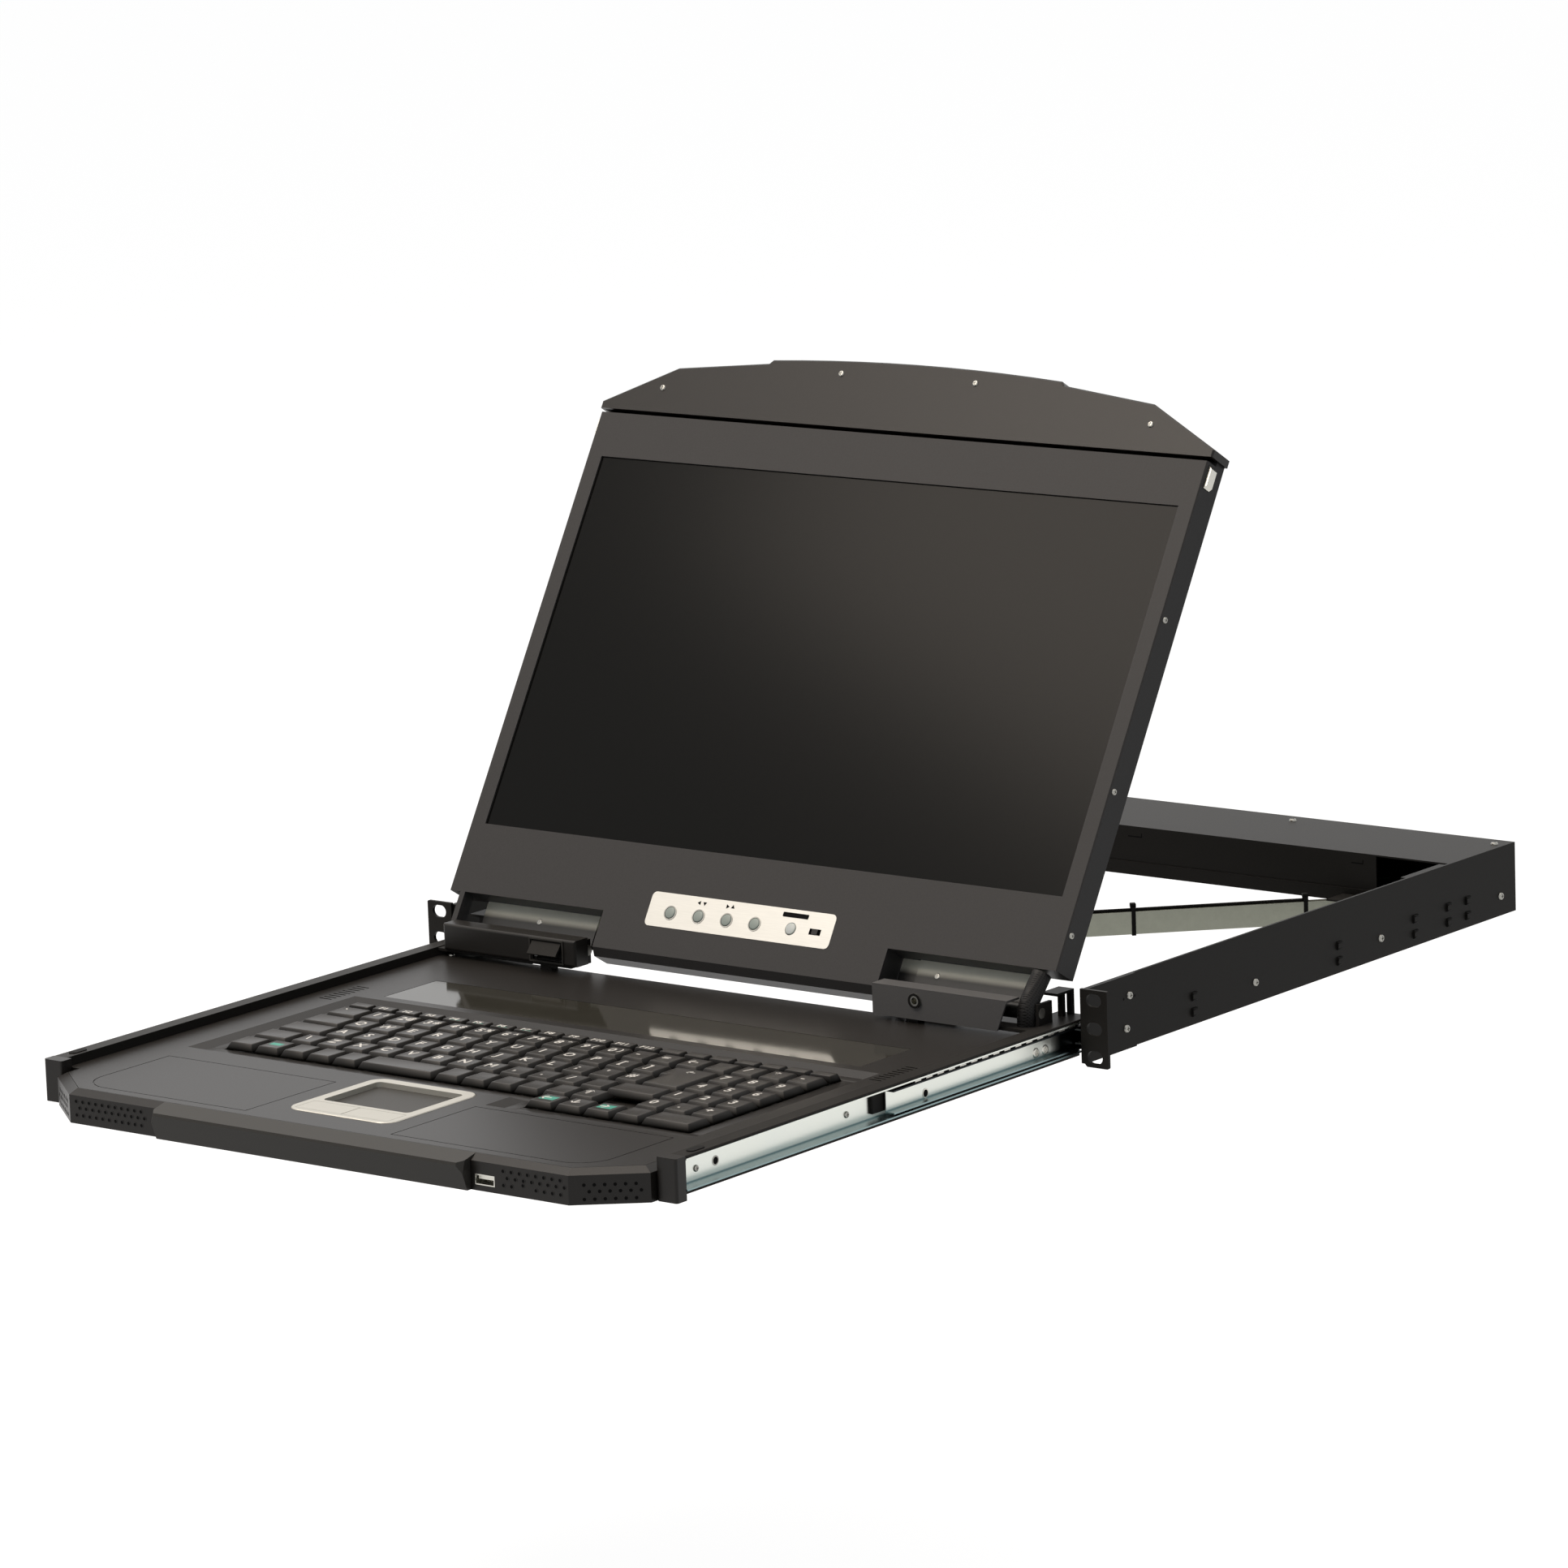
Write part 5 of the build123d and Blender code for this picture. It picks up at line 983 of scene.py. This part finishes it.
foot_plates = bmesh.new()
for x, width, z in FOOT_PLATES:
    stamp(foot_plates, soft_block(width, FOOT_DEPTH, FOOT_THICKNESS, 0.3), at(x, FOOT_Y, z))
for x in FOOT_SCREWS:
    stamp(foot_plates, small_screw, at(x, FOOT_SCREW_Y, FOOT_SCREW_Z), 1)
piece("hinge_foot_plates", foot_plates, [powder, screw_steel], "drawer", 35)
print("leaf screws", len(LEAF_SCREWS), "foot screws", len(FOOT_SCREWS))

# %% [markdown]
# Behind the small door in the left cover sits a slide switch. An inset of a block gives its rim, and a
# second inset sinks the mouth in which its short lever stands.

# %% Service switch
DOOR_X, SWITCH_Y, SWITCH_Z, SWITCH_RIM, MOUTH_DEPTH = -126.5, -27.2, 9.6, 1.2, 1.5
switch = block(20.6, 4, 11)
mouth = [face for face in switch.faces if face.normal.y < -0.9]
bmesh.ops.inset_individual(switch, faces=mouth, thickness=SWITCH_RIM * MM, depth=0)
bmesh.ops.inset_individual(switch, faces=mouth, thickness=0.1 * MM, depth=-MOUTH_DEPTH * MM)
stamp(switch, soft_block(3, 2.4, 3.2, 0.4), at(1.5, -1.6, -1))
bmesh.ops.transform(switch, matrix=at(DOOR_X, SWITCH_Y, SWITCH_Z), verts=switch.verts)
piece("service_switch", switch, [rubber], "drawer", 35)
print("service switch at", DOOR_X, "mm")

# %% [markdown]
# A raised frame runs round the door. An inset marks its rim on a flat sheet, the middle is taken out and
# the rim is extruded, which also makes the bands of the cable ties further on.

# %% Service door frame
def open_frame(width_mm, height_mm, rim_mm, depth_mm):
    """A flat rectangular frame about +Z, standing at z = 0."""
    ring = flat_sheet(width_mm, height_mm)
    inner = ring.faces[:]
    bmesh.ops.inset_individual(ring, faces=inner, thickness=rim_mm * MM)
    bmesh.ops.delete(ring, geom=inner, context="FACES")
    raised = bmesh.ops.extrude_face_region(ring, geom=ring.faces[:])["geom"]
    tops = [item for item in raised if isinstance(item, bmesh.types.BMVert)]
    bmesh.ops.translate(ring, verts=tops, vec=(0, 0, depth_mm * MM))
    bmesh.ops.recalc_face_normals(ring, faces=ring.faces)
    return ring


DOOR_FACE, DOOR_Z = -33, 10.1
door_frame = open_frame(25, 13.8, 1.2, 0.6)
bmesh.ops.transform(door_frame, matrix=facing(DOOR_X, DOOR_FACE, DOOR_Z, "X", 90), verts=door_frame.verts)
print("faces in the door frame", len(door_frame.faces))
# The frame takes the lighter grey, painted highlight for the light that its edges catch.
piece("service_door_frame", door_frame, [grey_abs_and_highlight], "drawer")

# %% [markdown]
# ## Arm leads
# A thin lead lies along the top of each arm link, held by two ties. Each tie is a flat band round the
# link with its locking head on top. The lead is fixed to the link, so lead and ties ride with it.

# %% Arm leads
ARM_X, ARM_LENGTH, ARM_ANGLE, ARM_TOP, ARM_FOOT = 159.0, 255.1, 46.05, -5.9, -19.4
REAR_PIVOT_Y, FRONT_PIVOT_Y, WEB_THICKNESS, TIES = 357, 3, 5, (0.1, 0.5)
LEAD_RADIUS, LEAD_OFFSET, LEAD_END, BAND, BAND_WIDTH = 0.9, 5.5, 22.5, 0.7, 2.4
lead_length = ARM_LENGTH - 2 * LEAD_END
band_high, band_low = ARM_TOP + 2 * LEAD_RADIUS + BAND, ARM_FOOT - BAND
tie_band = open_frame(WEB_THICKNESS + 2 * BAND, band_high - band_low, BAND, BAND_WIDTH)
tie_head = soft_block(4, 3.4, 2.6, 0.4)
for arm, pivot_y, turn_degrees, side in (("rear_arm", REAR_PIVOT_Y, 180 - ARM_ANGLE, 1),
                                         ("front_arm", FRONT_PIVOT_Y, ARM_ANGLE, -1)):
    x = side * LEAD_OFFSET
    lead = bmesh.new()
    bmesh.ops.create_cone(lead, cap_ends=True, segments=14, radius1=LEAD_RADIUS * MM,
                          radius2=LEAD_RADIUS * MM, depth=lead_length * MM,
                          matrix=facing(x, ARM_LENGTH / 2, ARM_TOP + LEAD_RADIUS, "X", 90))
    for share in TIES:
        along = ARM_LENGTH * share
        stamp(lead, tie_band, facing(x, along, (band_high + band_low) / 2, "X", 90))
        stamp(lead, tie_head, at(x, along - BAND_WIDTH / 2, band_high + 0.9))
    bmesh.ops.transform(lead, matrix=facing(ARM_X, pivot_y, 0, "Z", turn_degrees), verts=lead.verts)
    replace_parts(piece(arm + "_lead", lead, [rubber], arm, 35), arm + "_cable")
print("arm leads", round(lead_length, 1), "mm long")

# %% [markdown]
# The jack in the right cover has a black moulded nut around a plated throat. Two spun rings make it.

# %% Jack rings
JACK_X, JACK_FACE, JACK_Z = 134.8, -33.6, 11
jack = collar(2.9, 4.1, 0.5)
stamp(jack, collar(1.9, 2.9, 0.2), at(0, 0, 0), 1)
bmesh.ops.transform(jack, matrix=facing(JACK_X, JACK_FACE, JACK_Z, "X", 90), verts=jack.verts)
piece("jack_rings", jack, [rubber, screw_steel], "drawer", 35)
print("jack rings", 2)

# %% [markdown]
# A braided sleeve carries the screen's wires past the right hinge. Its polyester strands, about 1.2 mm
# apart, cross at a steep angle, so two sets of waves turned against each other give the weave.

# %% Braid
STRAND_TURN, STRAND_SCALE_PER_MM = math.radians(48), 0.26
braid, tree, shader = new_finish("braided_polyester_sleeve", Specular_IOR_Level=0.2)
place = add(tree, "ShaderNodeTexCoord")
strands = []
for lean in (1, -1):
    turned = add(tree, "ShaderNodeMapping", [(place.outputs["Object"], "Vector")],
                 Rotation=(lean * STRAND_TURN, 0, 0))
    strands.append(add(tree, "ShaderNodeTexWave", [(turned.outputs["Vector"], "Vector")],
                       Scale=STRAND_SCALE_PER_MM / MM, bands_direction="Z"))
weave = add(tree, "ShaderNodeMath", [(strands[0].outputs["Fac"], 0), (strands[1].outputs["Fac"], 1)],
            operation="MAXIMUM")
shade_by(tree, shader, weave.outputs[0], "#0b0b0b", "#2a2929")
bump = add(tree, "ShaderNodeBump", [(weave.outputs[0], "Height")], Strength=0.5, Distance=0.3 * MM)
tree.links.new(bump.outputs["Normal"], shader.inputs["Normal"])
rough_by(tree, shader, weave.outputs[0], 0.6, 0.45)
print(braid.name)

# %% [markdown]
# The sleeve runs from the drawer at its foot up to the lid at its head, built in one fixed shape. A round
# curve through five points is the natural way to a hose, and it becomes a closed mesh before it is
# blended.

# %% Braided sleeve
SLEEVE_RADIUS = 5.6
SLEEVE_POINTS = [(201, -20, 1), (201.5, -21.5, 8), (202.5, -20, 15), (203.3, -15, 22), (204, -9.5, 29)]
route = bpy.data.curves.new("sleeve_route", "CURVE")
route.dimensions = "3D"
route.bevel_depth = SLEEVE_RADIUS * MM
route.bevel_resolution = 5
route.use_fill_caps = True
run = route.splines.new("NURBS")
run.points.add(len(SLEEVE_POINTS) - 1)
for point, spot in zip(run.points, SLEEVE_POINTS):
    point.co = (*(v * MM for v in spot), 1)
run.use_endpoint_u = True
run.order_u = 3
run.resolution_u = 6
holder = bpy.data.objects.new("sleeve_route", route)
tube = bpy.data.meshes.new_from_object(holder)
bpy.data.objects.remove(holder)
sleeve = bmesh.new()
sleeve.from_mesh(tube)
bmesh.ops.remove_doubles(sleeve, verts=sleeve.verts, dist=1e-6)
bmesh.ops.recalc_face_normals(sleeve, faces=sleeve.faces)
data = bpy.data.meshes.new("braided_sleeve")
sleeve.to_mesh(data)
sleeve.free()
data.shade_smooth()
data.materials.append(braid)
braided = bpy.data.objects.new("braided_sleeve", data)
bpy.context.scene.collection.objects.link(braided)
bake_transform(braided)
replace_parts(braided, "cable_sleeve")
print("sleeve", len(SLEEVE_POINTS), "points")

# %% [markdown]
# ## Light and floor
# Studio light comes from two large soft boxes: one overhead that lightens the upward faces, and one from
# the left front whose edge is mirrored in the upper right of the screen. Places and sizes are in metres.

# %% Soft boxes
def soft_box(name, place, aim, size, watts):
    """A square lamp of a warm white that points at a place."""
    lamp = bpy.data.lights.new(name, "AREA")
    lamp.energy = watts
    lamp.color = linear("#fff2e4")[:3]
    lamp.shape = "RECTANGLE"
    lamp.size, lamp.size_y = size, size
    obj = bpy.data.objects.new(name, lamp)
    bpy.context.scene.collection.objects.link(obj)
    obj.location = place
    obj.rotation_euler = (Vector(aim) - Vector(place)).to_track_quat("-Z", "Y").to_euler()


soft_box("overhead", (-0.5, 0.3, 2.6), (0, 0.05, 0), 2.4, 42)
soft_box("left_front", (-0.93, -1.18, 2.14), (0, 0.07, 0.16), 1.2, 30)
print("lamps", len(bpy.data.lights))

# %% [markdown]
# The world is dim for light that scatters, and white for what the camera, the metal and the glossy
# plastic see, so the background is white without more light on the part.

# %% World
def seen_directly(tree):
    """1 for rays of the camera, of gloss and of clear materials."""
    rays = add(tree, "ShaderNodeLightPath")
    seen = add(tree, "ShaderNodeMath",
               [(rays.outputs["Is Camera Ray"], 0), (rays.outputs["Is Glossy Ray"], 1)], operation="MAXIMUM")
    either = add(tree, "ShaderNodeMath",
                 [(seen.outputs[0], 0), (rays.outputs["Is Transmission Ray"], 1)], operation="MAXIMUM")
    return either.outputs[0]


world = bpy.data.worlds.new("studio")
bpy.context.scene.world = world
world.use_nodes = True
tree = world.node_tree
tree.nodes.clear()
dim = add(tree, "ShaderNodeBackground", Color=linear("#d8dadc"), Strength=0.22)
white = add(tree, "ShaderNodeBackground", Color=linear("#ffffff"), Strength=1.0)
sky = add(tree, "ShaderNodeMixShader",
          [(seen_directly(tree), 0), (dim.outputs[0], 1), (white.outputs[0], 2)])
add(tree, "ShaderNodeOutputWorld", [(sky.outputs[0], "Surface")])
print("world", world.name)

# %% [markdown]
# The floor is a pale paper sweep that lies below the rack, so only a faint shadow falls on it. A matte
# paper takes the shadow, and a glow that only the camera and gloss see lifts it to the white of the
# background.

# %% Floor
FLOOR_HALF, FLOOR_LEVEL = 12, -0.30
floor_mesh = bmesh.new()
bmesh.ops.create_grid(floor_mesh, x_segments=1, y_segments=1, size=FLOOR_HALF)
floor_data = bpy.data.meshes.new("floor")
floor_mesh.to_mesh(floor_data)
floor_mesh.free()
floor = bpy.data.objects.new("floor", floor_data)
bpy.context.scene.collection.objects.link(floor)
floor.location.z = FLOOR_LEVEL
paper = bpy.data.materials.new("white_paper_sweep")
paper.use_nodes = True
tree = paper.node_tree
tree.nodes.clear()
matte = add(tree, "ShaderNodeBsdfDiffuse", Color=linear("#8c8c8c"))
glow = add(tree, "ShaderNodeEmission", Color=linear("#ffffff"), Strength=0.95)
none = add(tree, "ShaderNodeEmission", Strength=0.0)
lift = add(tree, "ShaderNodeMixShader",
           [(seen_directly(tree), 0), (none.outputs[0], 1), (glow.outputs[0], 2)])
both = add(tree, "ShaderNodeAddShader", [(matte.outputs[0], 0), (lift.outputs[0], 1)])
add(tree, "ShaderNodeOutputMaterial", [(both.outputs[0], "Surface")])
floor_data.materials.append(paper)
print("floor at", FLOOR_LEVEL, "m")
